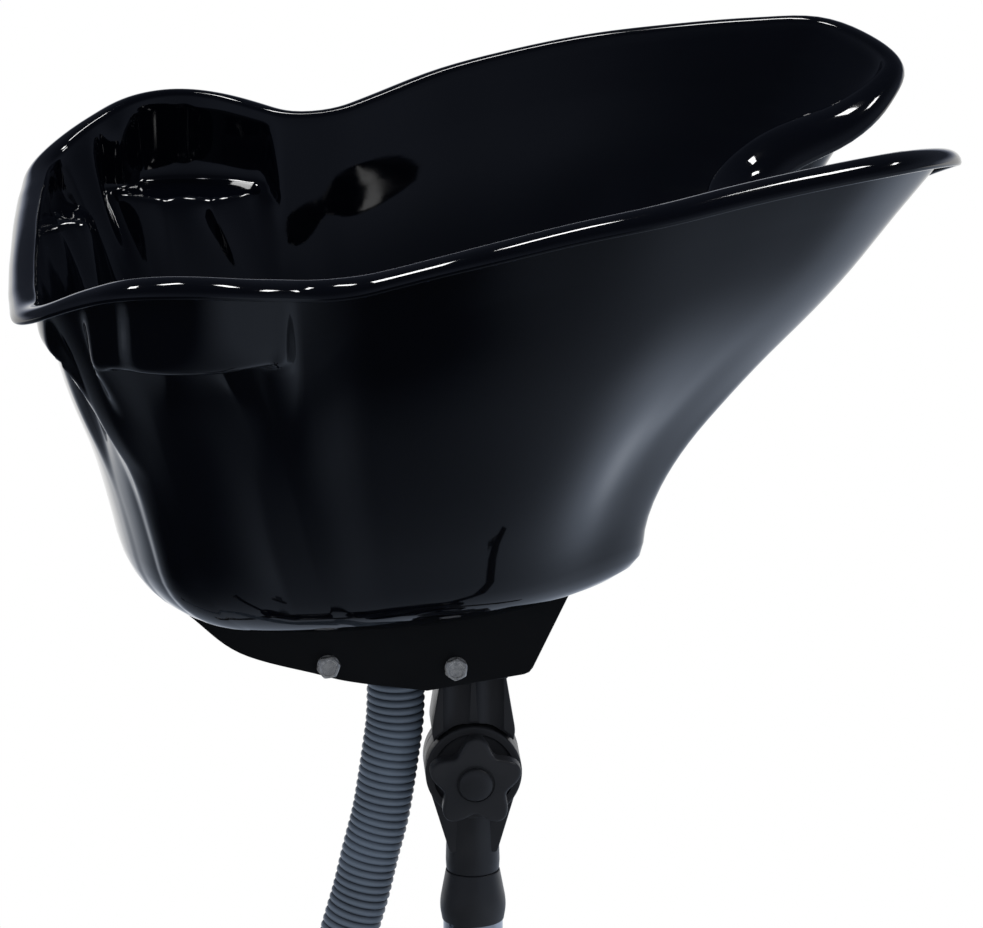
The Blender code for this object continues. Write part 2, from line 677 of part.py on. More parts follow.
def cheek_outline(tree, side):
    """A cheek in X and Z: its top follows the bowl's underside, its lower edge is one arc."""
    faces = (CHEEK_FACE * side, (CHEEK_FACE + CHEEK_THICKNESS) * side)
    top = []
    stride = (CHEEK_BACK - CHEEK_FRONT) / CHEEK_TOP_STEPS
    for k in range(CHEEK_TOP_STEPS + 1):
        x = CHEEK_FRONT + stride * k
        spots = [underside(tree, x + stride * shift, y) for shift in (-0.5, 0.0, 0.5) for y in faces]
        top.append((x, min(spots) - SEAT_GAP))
    rows = [(CHEEK_BACK, top[-1][1] - CHEEK_THICKNESS), (CHEEK_LOW, WEB_TOP - CHEEK_LOW_DROP),
            (CHEEK_TOE, WEB_TOP + CHEEK_TOE_RISE)]
    low = []
    for k in range(CHEEK_CURVE_STEPS + 1):
        share = k / CHEEK_CURVE_STEPS
        x = rows[0][0] + (rows[1][0] - rows[0][0]) * share
        z = rows[1][1] + (rows[0][1] - rows[1][1]) * (1.0 - share) ** 2
        low.append((x, z))
    return top + low + [rows[2]]


def cradle(tree, surface):
    """A folded steel channel: two cheeks, a web between them, and a hole for the hose."""
    body = box((WEB_BACK, -CHEEK_FACE - CHEEK_THICKNESS / 2.0, WEB_BOTTOM),
               (WEB_FRONT, CHEEK_FACE + CHEEK_THICKNESS / 2.0, WEB_TOP))
    cheeks, holes = [], []
    for side in (-1.0, 1.0):
        places = sorted((side * CHEEK_FACE, side * (CHEEK_FACE + CHEEK_THICKNESS)))
        cheeks.append(prism(cheek_outline(tree, side), *places))
    half = CHEEK_FACE + CHEEK_THICKNESS + OVERRUN
    for x, rise in BOLT_PLACES:
        hole = along_y(cylinder(BOLT_RADIUS + SEAT_GAP, -half, half, SMALL_SIDES))
        holes.append(moved(hole, (x, 0.0, WEB_TOP + rise)))
    hose_hole = cylinder(HOSE_RADIUS + WEB_HOLE_GAP, WEB_BOTTOM - OVERRUN, WEB_TOP + OVERRUN)
    holes.append(moved(hose_hole, (DRAIN_X, 0.0, 0.0)))
    for side in (-1.0, 1.0):
        screw_hole = cylinder(SCREW_RADIUS + SEAT_GAP, WEB_BOTTOM - OVERRUN, WEB_TOP + OVERRUN,
                              SMALL_SIDES)
        holes.append(moved(screw_hole, (POST_X, side * SCREW_SPREAD, 0.0)))
    return add_object("cradle", cut(union(body, *cheeks), *holes), surface)


def hex_bolt_mesh(length, flanged=False):
    """A hex bolt along Z, with or without a flange: its seat at zero, its head above."""
    corner = BOLT_HEAD_FLATS / math.sqrt(3.0)
    head = cylinder(corner, 0.0, BOLT_HEAD_HEIGHT, HEX_SIDES)
    bolt = union(head, cylinder(BOLT_RADIUS, -length, BOLT_HEAD_HEIGHT / 2.0, SMALL_SIDES))
    if flanged:
        bolt = union(bolt, cylinder(BOLT_FLANGE_RADIUS, 0.0, BOLT_FLANGE_THICKNESS, SMALL_SIDES))
    return bolt


def cradle_bolts(surface):
    """Two bolts through each cheek into the bowl's bosses."""
    mesh = along_y(hex_bolt_mesh(BOLT_LENGTH, flanged=True))
    seat = CHEEK_FACE + CHEEK_THICKNESS + SEAT_GAP
    for x_name, (x, rise) in zip(("back", "front"), BOLT_PLACES):
        for y_name, side in (("near", -1.0), ("far", 1.0)):
            bolt = add_object(f"cradle_bolt_{y_name}_{x_name}", mesh, surface)
            bolt.location = (x, side * seat, WEB_TOP + rise)
            bolt.rotation_euler = (0.0, 0.0, 0.0 if side < 0.0 else math.pi)


def drain_parts(steel, rubber, plastic):
    """The waste: flanged body with its hose spigot, strainer grid, gasket and locknut."""
    low = DRAIN_Z - WALL
    thread_end = low - DRAIN_THREAD_LENGTH
    spigot_end = thread_end - SPIGOT_LENGTH
    flange_low = DRAIN_Z + SEAT_GAP
    flange_high = flange_low + DRAIN_FLANGE_THICKNESS
    recess = flange_high - GRID_THICKNESS
    thread = DRAIN_HOLE_RADIUS - SEAT_GAP
    body = lathe([
        (DRAIN_FLANGE_RADIUS, flange_low), (DRAIN_FLANGE_RADIUS, flange_low + DRAIN_FLANGE_THICKNESS / 2.0),
        (DRAIN_BORE_RADIUS + GRID_LEDGE, flange_high), (DRAIN_BORE_RADIUS, flange_high),
        (DRAIN_BORE_RADIUS, recess), (DRAIN_BORE_RADIUS - GRID_LEDGE, recess),
        (DRAIN_BORE_RADIUS - GRID_LEDGE, thread_end + SPIGOT_LEAD), (SPIGOT_BORE_RADIUS, thread_end),
        (SPIGOT_BORE_RADIUS, spigot_end), (SPIGOT_RADIUS - SPIGOT_BARB, spigot_end),
        (SPIGOT_RADIUS + SPIGOT_BARB, spigot_end + SPIGOT_LEAD),
        (SPIGOT_RADIUS, spigot_end + SPIGOT_LEAD * 2.0),
        (SPIGOT_RADIUS, thread_end), (thread, thread_end), (thread, flange_low)])
    add_object("drain_body", moved(body, (DRAIN_X, 0.0, 0.0)), steel)

    grid = cylinder(DRAIN_BORE_RADIUS - SEAT_GAP, recess + SEAT_GAP, flange_high + SEAT_GAP)
    holes = [cylinder(GRID_HOLE_RADIUS, recess - OVERRUN, flange_high + OVERRUN, SMALL_SIDES)]
    for k in range(GRID_HOLES):
        angle = math.tau * k / GRID_HOLES
        hole = cylinder(GRID_HOLE_RADIUS, recess - OVERRUN, flange_high + OVERRUN, SMALL_SIDES)
        place = (GRID_RING_RADIUS * math.cos(angle), GRID_RING_RADIUS * math.sin(angle), 0.0)
        holes.append(moved(hole, place))
    add_object("strainer_grid", moved(cut(grid, *holes), (DRAIN_X, 0.0, 0.0)), steel)

    gasket_high = low - SEAT_GAP
    gasket_low = gasket_high - GASKET_THICKNESS
    inner = DRAIN_HOLE_RADIUS
    gasket = lathe([(inner, gasket_low), (GASKET_RADIUS, gasket_low), (GASKET_RADIUS, gasket_high),
                    (inner, gasket_high)])
    add_object("drain_gasket", moved(gasket, (DRAIN_X, 0.0, 0.0)), rubber)
    nut_high = gasket_low - SEAT_GAP
    nut_low = nut_high - LOCKNUT_THICKNESS
    bore = cylinder(inner, nut_low - OVERRUN, nut_high + OVERRUN)
    nut = cut(cylinder(LOCKNUT_RADIUS, nut_low, nut_high, LOCKNUT_SIDES), bore)
    add_object("drain_locknut", moved(nut, (DRAIN_X, 0.0, 0.0)), plastic)
    return thread_end, nut_low


def hose_points(top):
    """The hose's centre line, evenly spaced: straight out of its exit, then along the route."""
    straight = [(DRAIN_X, 0.0, top), (DRAIN_X, 0.0, (top + HOSE_ROUTE[0][2]) / 2.0)]
    curve = smooth_curve(straight + list(HOSE_ROUTE), 16)
    lengths = np.concatenate([[0.0], np.cumsum(np.linalg.norm(np.diff(curve, axis=0), axis=1))])
    return curve, lengths


def swept_rings(curve, lengths, places, radii, sides):
    """Rings of points round the curve at the given lengths along it, carried without twist."""
    centres = np.column_stack([np.interp(places, lengths, curve[:, k]) for k in range(3)])
    step = lengths[-1] / len(lengths)
    ahead = np.column_stack([np.interp(np.minimum(places + step, lengths[-1]), lengths, curve[:, k])
                             for k in range(3)])
    behind = np.column_stack([np.interp(np.maximum(places - step, 0.0), lengths, curve[:, k])
                              for k in range(3)])
    tangents = ahead - behind
    tangents /= np.linalg.norm(tangents, axis=1)[:, None]
    side = np.array([0.0, 1.0, 0.0])
    rings = []
    for centre, tangent, radius in zip(centres, tangents, radii):
        side = side - tangent * side.dot(tangent)
        side /= np.linalg.norm(side)
        up = np.cross(tangent, side)
        turns = math.tau * (np.arange(sides) + 0.5) / sides
        rings.append(centre + radius * (np.outer(np.cos(turns), side) + np.outer(np.sin(turns), up)))
    return np.array(rings)


def drain_hose(top, surface):
    """The ribbed hose: an outer skin that rises to a rib and falls again, and a plain bore."""
    curve, lengths = hose_points(top)
    total = lengths[-1]
    ribbed = total - 2.0 * HOSE_PLAIN
    places, radii = [0.0, HOSE_PLAIN], [HOSE_VALLEY_RADIUS + SEAT_GAP, HOSE_VALLEY_RADIUS + SEAT_GAP]
    for k in range(HOSE_RIBS):
        places.append(HOSE_PLAIN + ribbed * (k + 0.45) / HOSE_RIBS)
        radii.append(HOSE_RADIUS)
        places.append(HOSE_PLAIN + ribbed * (k + 0.95) / HOSE_RIBS)
        radii.append(HOSE_VALLEY_RADIUS)
    places.append(total)
    radii.append(HOSE_VALLEY_RADIUS)
    outer = swept_rings(curve, lengths, np.array(places), radii, HOSE_SIDES)
    bore_places = np.linspace(0.0, total, HOSE_BORE_STEPS)
    bore = swept_rings(curve, lengths, bore_places, [HOSE_BORE_RADIUS] * HOSE_BORE_STEPS, HOSE_SIDES)
    rings = np.vstack([outer, bore[::-1]])
    count = len(rings)
    faces = []
    for i in range(count):
        for j in range(HOSE_SIDES):
            a, b = i * HOSE_SIDES, ((i + 1) % count) * HOSE_SIDES
            n = (j + 1) % HOSE_SIDES
            faces.append((a + j, a + n, b + n, b + j))
    add_object("drain_hose", mesh_from(rings.reshape(-1, 3), faces), surface)
    return curve, lengths


def hose_fittings(top, curve, lengths, steel, rubber):
    """The worm-drive clamp at the spigot and the smooth cuff at the hose's far end."""
    inner = HOSE_VALLEY_RADIUS + 2.0 * SEAT_GAP
    outer = inner + CLAMP_BAND_THICKNESS
    high = top - SEAT_GAP
    low = high - CLAMP_BAND_WIDTH
    band = lathe([(inner, low), (outer, low), (outer, high), (inner, high)])
    worm = box((-CLAMP_SCREW_LENGTH / 2.0, -outer - CLAMP_SCREW_SIZE, low + CLAMP_BAND_THICKNESS),
               (CLAMP_SCREW_LENGTH / 2.0, -inner - CLAMP_BAND_THICKNESS / 2.0, high - CLAMP_BAND_THICKNESS))
    add_object("hose_clamp", moved(union(band, worm), (DRAIN_X, 0.0, 0.0)), steel)

    end = curve[-1]
    heading = curve[-1] - curve[-2]
    heading /= np.linalg.norm(heading)
    sides = HOSE_SIDES * 2
    bore = (HOSE_VALLEY_RADIUS + SEAT_GAP) / math.cos(math.pi / sides)
    wide = HOSE_RADIUS + CUFF_THICKNESS
    lip = HOSE_BORE_RADIUS
    seat = SEAT_GAP
    sleeve = HOSE_PLAIN - CUFF_SHY
    cuff = lathe([(bore, -sleeve), (wide, -sleeve + SEAT_GAP), (wide, CUFF_LENGTH - sleeve),
                  (lip, CUFF_LENGTH - sleeve), (lip, seat), (bore, seat)], sides)
    turn = Vector((0.0, 0.0, 1.0)).rotation_difference(Vector(heading)).to_matrix().to_4x4()
    cuff.transform(Matrix.Translation(Vector(end)) @ turn)
    add_object("hose_cuff", cuff, rubber)


def top_jaw(surface, steel):
    """The hinge's upper half: a screwed flange, a thick body cut round the discs, a tongue."""
    flange_high = WEB_BOTTOM - SEAT_GAP - TILT_Z
    flange_low = flange_high - JAW_FLANGE_THICKNESS
    outline = [(-JAW_TOP_HALF_WIDTH, flange_high - JAW_FLANGE_THICKNESS / 2.0),
               (-JAW_SHOULDER_HALF_WIDTH, JAW_SHOULDER_RISE),
               (-DISC_RADIUS * 0.6, DISC_RADIUS * 0.2), (DISC_RADIUS * 0.6, DISC_RADIUS * 0.2),
               (JAW_SHOULDER_HALF_WIDTH, JAW_SHOULDER_RISE),
               (JAW_TOP_HALF_WIDTH, flange_high - JAW_FLANGE_THICKNESS / 2.0)]
    flange = box((-JAW_FLANGE_HALF_LENGTH, -JAW_FLANGE_HALF_WIDTH, flange_low),
                 (JAW_FLANGE_HALF_LENGTH, JAW_FLANGE_HALF_WIDTH, flange_high))
    body = prism(outline, -JAW_HALF_DEPTH, JAW_HALF_DEPTH)
    rib = box((-RIB_HALF_WIDTH, -JAW_HALF_DEPTH - RIB_HEIGHT, DISC_RADIUS * 0.5),
              (RIB_HALF_WIDTH, JAW_HALF_DEPTH + RIB_HEIGHT, flange_high - JAW_FLANGE_THICKNESS / 2.0))
    disc = along_y(cylinder(DISC_RADIUS, -JAW_HALF_DEPTH + SEAT_GAP, JAW_HALF_DEPTH - SEAT_GAP))
    solid = union(body, flange, rib, disc)
    deep = JAW_HALF_DEPTH + RIB_HEIGHT + OVERRUN
    near = along_y(cylinder(DISC_CLEAR_RADIUS, TONGUE_HALF_DEPTH, deep))
    far = along_y(cylinder(DISC_CLEAR_RADIUS, -deep, -TONGUE_HALF_DEPTH))
    solid = cut(solid, near, far)
    holes = [along_y(cylinder(TILT_HOLE_RADIUS, -deep, deep, SMALL_SIDES))]
    for side in (-1.0, 1.0):
        hole = cylinder(SCREW_RADIUS + SEAT_GAP, flange_low - OVERRUN, flange_high + OVERRUN, SMALL_SIDES)
        holes.append(moved(hole, (0.0, side * SCREW_SPREAD, 0.0)))
    jaw = add_object("hinge_top_jaw", cut(solid, *holes), surface)
    jaw.location = (POST_X, 0.0, TILT_Z)

    head = lathe([(0.0, -SCREW_HEAD_HEIGHT), (SCREW_HEAD_RADIUS * 0.7, -SCREW_HEAD_HEIGHT * 0.8),
                  (SCREW_HEAD_RADIUS, -SEAT_GAP), (SCREW_RADIUS, -SEAT_GAP), (SCREW_RADIUS, SCREW_LENGTH),
                  (0.0, SCREW_LENGTH)], SMALL_SIDES)
    for name, side in (("near", -1.0), ("far", 1.0)):
        screw = add_object(f"jaw_screw_{name}", head, steel)
        screw.location = (POST_X, side * SCREW_SPREAD, TILT_Z + flange_low)


def lower_jaw(surface):
    """The hinge's lower half: a fork of two discs, tapering fins and a round socket."""
    discs = along_y(cylinder(DISC_RADIUS, -JAW_HALF_DEPTH, JAW_HALF_DEPTH))
    fins = prism([(-DISC_RADIUS * 0.95, -DISC_RADIUS * 0.3), (-SOCKET_RADIUS * 0.9, -FIN_DROP),
                  (SOCKET_RADIUS * 0.9, -FIN_DROP), (DISC_RADIUS * 0.95, -DISC_RADIUS * 0.3)],
                 -FIN_HALF_DEPTH, FIN_HALF_DEPTH)
    plug_low = -SOCKET_DROP - SPIGOT_PLUG_LENGTH
    socket = lathe([(0.0, plug_low), (SPIGOT_PLUG_RADIUS, plug_low),
                    (SPIGOT_PLUG_RADIUS, -SOCKET_DROP), (SOCKET_RADIUS, -SOCKET_DROP),
                    (SOCKET_RADIUS, -SOCKET_TOP_DROP), (0.0, -SOCKET_TOP_DROP)])
    solid = union(discs, fins, socket)
    slot_half = TONGUE_HALF_DEPTH + SEAT_GAP
    slot = along_y(cylinder(DISC_CLEAR_RADIUS, -slot_half, slot_half))
    deep = JAW_HALF_DEPTH + OVERRUN
    hole = along_y(cylinder(TILT_HOLE_RADIUS, -deep, deep, SMALL_SIDES))
    jaw = add_object("hinge_lower_jaw", cut(solid, slot, hole), surface)
    jaw.location = (POST_X, 0.0, TILT_Z)


def star_outline():
    """A star with round lobes: the radius swings between waist and tip, softened at the tips."""
    points = []
    for k in range(KNOB_STEPS):
        angle = math.tau * k / KNOB_STEPS
        swing = 0.5 + 0.5 * math.cos(KNOB_LOBES * angle)
        radius = KNOB_WAIST_RADIUS + (KNOB_RADIUS - KNOB_WAIST_RADIUS) * swing
        points.append((radius * math.sin(angle), radius * math.cos(angle)))
    return points


def star_mesh(hub_length):
    """A star knob along Z with its hub's seat at zero and its face up."""
    outline = star_outline()
    heights = (hub_length, hub_length + KNOB_EDGE, hub_length + KNOB_THICKNESS - KNOB_EDGE,
               hub_length + KNOB_THICKNESS)
    shrinks = (1.0 - KNOB_EDGE / KNOB_RADIUS, 1.0, 1.0, 1.0 - KNOB_EDGE / KNOB_RADIUS)
    points, faces = [], []
    count = len(outline)
    for height, shrink in zip(heights, shrinks):
        points += [(x * shrink, y * shrink, height) for x, y in outline]
    for i in range(len(heights) - 1):
        for j in range(count):
            n = (j + 1) % count
            faces.append((i * count + j, i * count + n, (i + 1) * count + n, (i + 1) * count + j))
    faces.append(tuple(range(count)))
    faces.append(tuple((len(heights) - 1) * count + j for j in range(count)))
    star = mesh_from(points, faces)
    hub = cylinder(KNOB_HUB_RADIUS, 0.0, hub_length + KNOB_EDGE)
    return union(star, hub)


def dome(low):
    """A knob's domed cap along Z, its flat side at the given height."""
    return lathe([(0.0, low), (KNOB_CAP_RADIUS, low),
                  (KNOB_CAP_RADIUS * 0.92, low + KNOB_CAP_HEIGHT * 0.55),
                  (KNOB_CAP_RADIUS * 0.55, low + KNOB_CAP_HEIGHT * 0.92),
                  (0.0, low + KNOB_CAP_HEIGHT)])


def tilt_clamp(plastic, steel):
    """The hinge's bolt, a washer, and the star knob with its domed cap."""
    face = JAW_HALF_DEPTH
    washer = lathe([(TILT_HOLE_RADIUS, face + SEAT_GAP), (WASHER_RADIUS, face + SEAT_GAP),
                    (WASHER_RADIUS, face + WASHER_THICKNESS),
                    (TILT_HOLE_RADIUS, face + WASHER_THICKNESS)], SMALL_SIDES)
    knob_seat = face + WASHER_THICKNESS + SEAT_GAP
    star = star_mesh(KNOB_HUB_LENGTH)
    star.transform(Matrix.Rotation(-KNOB_TURN, 4, "Z"))
    star = moved(star, (0.0, 0.0, knob_seat))
    socket = cylinder(TILT_BOLT_RADIUS + SEAT_GAP, knob_seat - OVERRUN, knob_seat + KNOB_SOCKET_DEPTH,
                      SMALL_SIDES)
    star = cut(star, socket)
    knob_face = knob_seat + KNOB_HUB_LENGTH + KNOB_THICKNESS
    cap_low = knob_face + SEAT_GAP
    cap = dome(cap_low)
    bolt = hex_bolt_mesh(2.0 * face + WASHER_THICKNESS + KNOB_SOCKET_DEPTH)
    bolt.transform(Matrix.Rotation(math.pi, 4, "X"))
    bolt = moved(bolt, (0.0, 0.0, -face - SEAT_GAP))
    parts = (("tilt_washer", washer, steel), ("tilt_knob", star, plastic), ("tilt_knob_cap", cap, plastic),
             ("tilt_bolt", bolt, steel))
    for name, mesh, surface in parts:
        thing = add_object(name, along_y(mesh), surface)
        thing.location = (POST_X, 0.0, TILT_Z)


def post_parts(plastic, chrome, paint):
    """Collar, sliding post, its glide, the outer post with its bush, and the clamp with knob."""
    top = SOCKET_Z - SEAT_GAP
    bottom = top - COLLAR_HEIGHT
    hole = SPIGOT_PLUG_RADIUS + SEAT_GAP
    seat = top - COLLAR_CAP_THICKNESS
    counter = INNER_POST_RADIUS + SEAT_GAP
    collar = lathe([(hole, top), (hole, seat), (counter, seat), (counter, bottom),
                    (COLLAR_FOOT_RADIUS, bottom), (COLLAR_WIDE_RADIUS, bottom + COLLAR_EDGE),
                    (COLLAR_WIDE_RADIUS, top - COLLAR_WIDE_DROP), (COLLAR_TOP_RADIUS, top)])
    add_object("post_collar", moved(collar, (POST_X, 0.0, 0.0)), plastic)
    post_top = seat - SEAT_GAP
    inner = lathe([(hole, INNER_POST_BOTTOM), (INNER_POST_RADIUS, INNER_POST_BOTTOM),
                   (INNER_POST_RADIUS, post_top), (hole, post_top)])
    add_object("inner_post", moved(inner, (POST_X, 0.0, 0.0)), chrome)

    bore = OUTER_POST_RADIUS - OUTER_POST_WALL
    glide_low = INNER_POST_BOTTOM - GLIDE_LIP - SEAT_GAP
    glide_high = INNER_POST_BOTTOM + GLIDE_LENGTH
    glide_bore = hole - GLIDE_LIP
    glide = lathe([(glide_bore, glide_low), (bore - SEAT_GAP, glide_low), (bore - SEAT_GAP, glide_high),
                   (counter, glide_high), (counter, INNER_POST_BOTTOM - SEAT_GAP),
                   (glide_bore, INNER_POST_BOTTOM - SEAT_GAP)])
    add_object("post_glide", moved(glide, (POST_X, 0.0, 0.0)), plastic)

    clamp_top = OUTER_POST_TOP - CLAMP_BODY_TOP_OFFSET
    clamp_low = clamp_top - CLAMP_BODY_HEIGHT
    knob_z = (clamp_top + clamp_low) / 2.0
    screw_hole = moved(along_y(cylinder(BOLT_RADIUS + SEAT_GAP, OVERRUN, CLAMP_BOSS_REACH + OVERRUN,
                                        SMALL_SIDES, HALF_SIDE_TURN)),
                       (0.0, 0.0, knob_z))
    outer = lathe([(bore, PLATE_TOP + SEAT_GAP), (OUTER_POST_RADIUS, PLATE_TOP + SEAT_GAP),
                   (OUTER_POST_RADIUS, OUTER_POST_TOP), (bore, OUTER_POST_TOP)])
    add_object("outer_post", moved(cut(outer, screw_hole), (POST_X, 0.0, 0.0)), paint)
    bush_high = OUTER_POST_TOP + SEAT_GAP + BUSH_FLANGE
    bush_seat = OUTER_POST_TOP + SEAT_GAP
    bush_low = OUTER_POST_TOP - BUSH_LENGTH
    bush = lathe([(counter, bush_low), (bore - SEAT_GAP, bush_low), (bore - SEAT_GAP, bush_seat),
                  (OUTER_POST_RADIUS, bush_seat), (OUTER_POST_RADIUS, bush_high), (counter, bush_high)])
    add_object("guide_bush", moved(cut(bush, screw_hole), (POST_X, 0.0, 0.0)), plastic)

    sleeve = OUTER_POST_RADIUS + SEAT_GAP
    ring = lathe([(sleeve, clamp_low), (CLAMP_BODY_RADIUS, clamp_low), (CLAMP_BODY_RADIUS, clamp_top),
                  (sleeve, clamp_top)])
    boss = moved(along_y(cylinder(CLAMP_BOSS_RADIUS, (sleeve + CLAMP_BODY_RADIUS) / 2.0, CLAMP_BOSS_REACH,
                                  SMALL_SIDES, HALF_SIDE_TURN)), (0.0, 0.0, knob_z))
    body = cut(union(ring, boss), screw_hole)
    add_object("clamp_collar", moved(body, (POST_X, 0.0, 0.0)), paint)

    star = moved(star_mesh(KNOB_HUB_LENGTH), (0.0, 0.0, CLAMP_BOSS_REACH + SEAT_GAP))
    stem = cylinder(BOLT_RADIUS, counter, CLAMP_BOSS_REACH + KNOB_HUB_LENGTH, SMALL_SIDES)
    knob = add_object("height_knob", along_y(union(star, stem)), plastic)
    knob.location = (POST_X, 0.0, knob_z)
    face = CLAMP_BOSS_REACH + SEAT_GAP + KNOB_HUB_LENGTH + KNOB_THICKNESS + SEAT_GAP
    cover = add_object("height_knob_cap", along_y(dome(face)), plastic)
    cover.location = (POST_X, 0.0, knob_z)


def base_parts(paint, plastic, steel):
    """Base plate with its hub block and sleeve, four legs, their bolts and end caps."""
    plate_low = LEG_TOP + SEAT_GAP
    plate = cylinder(PLATE_RADIUS, plate_low, PLATE_TOP)
    sleeve = cylinder(SLEEVE_RADIUS, plate_low + PLATE_THICKNESS / 2.0, PLATE_TOP + SLEEVE_HEIGHT)
    block = box((-HUB_BLOCK_HALF, -HUB_BLOCK_HALF, LEG_BOTTOM),
                (HUB_BLOCK_HALF, HUB_BLOCK_HALF, PLATE_TOP - PLATE_THICKNESS / 2.0))
    block.transform(Matrix.Rotation(LEG_ANGLE, 4, "Z"))
    solid = union(plate, sleeve, block)
    cuts = [cylinder(OUTER_POST_RADIUS + SEAT_GAP, PLATE_TOP, PLATE_TOP + SLEEVE_HEIGHT + OVERRUN)]
    for k in range(LEG_COUNT):
        angle = LEG_ANGLE + math.tau * k / LEG_COUNT
        place = (LEG_BOLT_REACH * math.cos(angle), LEG_BOLT_REACH * math.sin(angle), 0.0)
        hole = cylinder(BOLT_RADIUS + SEAT_GAP, plate_low - OVERRUN, PLATE_TOP + OVERRUN, SMALL_SIDES)
        cuts.append(moved(hole, place))
    add_object("base_hub", moved(cut(solid, *cuts), (POST_X, 0.0, 0.0)), paint)

    start = HUB_BLOCK_HALF + SEAT_GAP
    half = LEG_WIDTH / 2.0
    leg = cut(box((start, -half, LEG_BOTTOM), (LEG_REACH, half, LEG_TOP)),
              box((start - OVERRUN, -half + LEG_WALL, LEG_BOTTOM + LEG_WALL),
                  (LEG_REACH + OVERRUN, half - LEG_WALL, LEG_TOP - LEG_WALL)),
              moved(cylinder(BOLT_RADIUS + SEAT_GAP, LEG_TOP - OVERRUN, LEG_TOP + OVERRUN, SMALL_SIDES),
                    (LEG_BOLT_REACH, 0.0, 0.0)),
              moved(cylinder(STEM_RADIUS + SEAT_GAP, LEG_BOTTOM - OVERRUN, LEG_BOTTOM + OVERRUN, SMALL_SIDES),
                    (CASTER_REACH, 0.0, 0.0)))
    fit = LEG_WALL + SEAT_GAP
    cap_start = LEG_REACH + SEAT_GAP
    cap = union(box((cap_start, -half, LEG_BOTTOM), (cap_start + END_CAP_THICKNESS, half, LEG_TOP)),
                box((LEG_REACH - END_CAP_INSERT, -half + fit, LEG_BOTTOM + fit),
                    (LEG_REACH + END_CAP_THICKNESS / 2.0, half - fit, LEG_TOP - fit)))
    bolt = hex_bolt_mesh(LEG_BOLT_LENGTH)
    for k in range(LEG_COUNT):
        angle = LEG_ANGLE + math.tau * k / LEG_COUNT
        for name, mesh, surface in ((f"leg_{k + 1}", leg, paint), (f"leg_cap_{k + 1}", cap, plastic)):
            thing = add_object(name, mesh, surface)
            thing.location = (POST_X, 0.0, 0.0)
            thing.rotation_euler = (0.0, 0.0, angle)
        thing = add_object(f"leg_bolt_{k + 1}", bolt, steel)
        thing.location = (POST_X + LEG_BOLT_REACH * math.cos(angle), LEG_BOLT_REACH * math.sin(angle),
                          PLATE_TOP + SEAT_GAP)


def fork_mesh():
    """A caster's fork with its stem: the swivel axis is Z, the wheel trails toward -X."""
    plate_outer = FORK_FACE + FORK_PLATE
    top_low = FORK_TOP - FORK_TOP_THICKNESS
    head_back = -FORK_HEAD_HALF - CASTER_TRAIL / 2.0
    head = box((head_back, -plate_outer, top_low), (FORK_HEAD_HALF, plate_outer, FORK_TOP))
    plate_top = FORK_TOP - FORK_TOP_THICKNESS / 4.0
    outline = [(head_back, plate_top)]
    for k in range(SMALL_SIDES // 2 + 1):
        angle = math.pi + math.pi * k / (SMALL_SIDES // 2)
        outline.append((-CASTER_TRAIL + FORK_FOOT_RADIUS * math.cos(angle),
                        WHEEL_RADIUS + FORK_FOOT_RADIUS * math.sin(angle)))
    outline.append((FORK_HEAD_HALF, plate_top))
    near = prism(outline, -plate_outer, -FORK_FACE)
    far = prism(outline, FORK_FACE, plate_outer)
    stem_low = top_low + FORK_TOP_THICKNESS / 2.0
    stem = lathe([(0.0, stem_low), (STEM_COLLAR_RADIUS, stem_low),
                  (STEM_COLLAR_RADIUS, LEG_BOTTOM - SEAT_GAP), (STEM_RADIUS, LEG_BOTTOM - SEAT_GAP),
                  (STEM_RADIUS, STEM_TOP), (0.0, STEM_TOP)], SMALL_SIDES)
    deep = plate_outer + OVERRUN
    hole = along_y(cylinder(AXLE_RADIUS + SEAT_GAP, -deep, deep, SMALL_SIDES))
    hole = moved(hole, (-CASTER_TRAIL, 0.0, WHEEL_RADIUS))
    return cut(union(head, near, far, stem), hole)


def wheel_mesh():
    """A wheel with a flat facet at the floor: rim, thin web and hub, turned about its axle."""
    corner = WHEEL_RADIUS / math.cos(math.pi / WHEEL_SIDES)
    bore = AXLE_RADIUS + SEAT_GAP
    side = [(bore, WHEEL_HUB_HALF_WIDTH), (WHEEL_HUB_RADIUS, WHEEL_HUB_HALF_WIDTH),
            (WHEEL_RIM_RADIUS, WHEEL_WEB_HALF_WIDTH), (corner, WHEEL_HALF_WIDTH)]
    profile = side + [(radius, -half) for radius, half in side[::-1]]
    return along_y(lathe(profile, WHEEL_SIDES, math.pi / WHEEL_SIDES))


def casters(steel, tyre):
    """Four swivel casters, each a fork with its stem, a wheel and an axle."""
    fork, wheel = fork_mesh(), wheel_mesh()
    half = FORK_FACE + FORK_PLATE + SEAT_GAP
    end = half + AXLE_HEAD_THICKNESS
    axle = along_y(lathe([(0.0, -end), (AXLE_HEAD_RADIUS, -end), (AXLE_HEAD_RADIUS, -half),
                          (AXLE_RADIUS, -half), (AXLE_RADIUS, half), (AXLE_HEAD_RADIUS, half),
                          (AXLE_HEAD_RADIUS, end), (0.0, end)], SMALL_SIDES))
    for k in range(LEG_COUNT):
        angle = LEG_ANGLE + math.tau * k / LEG_COUNT
        x = POST_X + CASTER_REACH * math.cos(angle)
        y = CASTER_REACH * math.sin(angle)
        add_object(f"caster_fork_{k + 1}", fork, steel).location = (x, y, 0.0)
        add_object(f"caster_wheel_{k + 1}", wheel, tyre).location = (x - CASTER_TRAIL, y, WHEEL_RADIUS)
        add_object(f"caster_axle_{k + 1}", axle, steel).location = (x - CASTER_TRAIL, y, WHEEL_RADIUS)


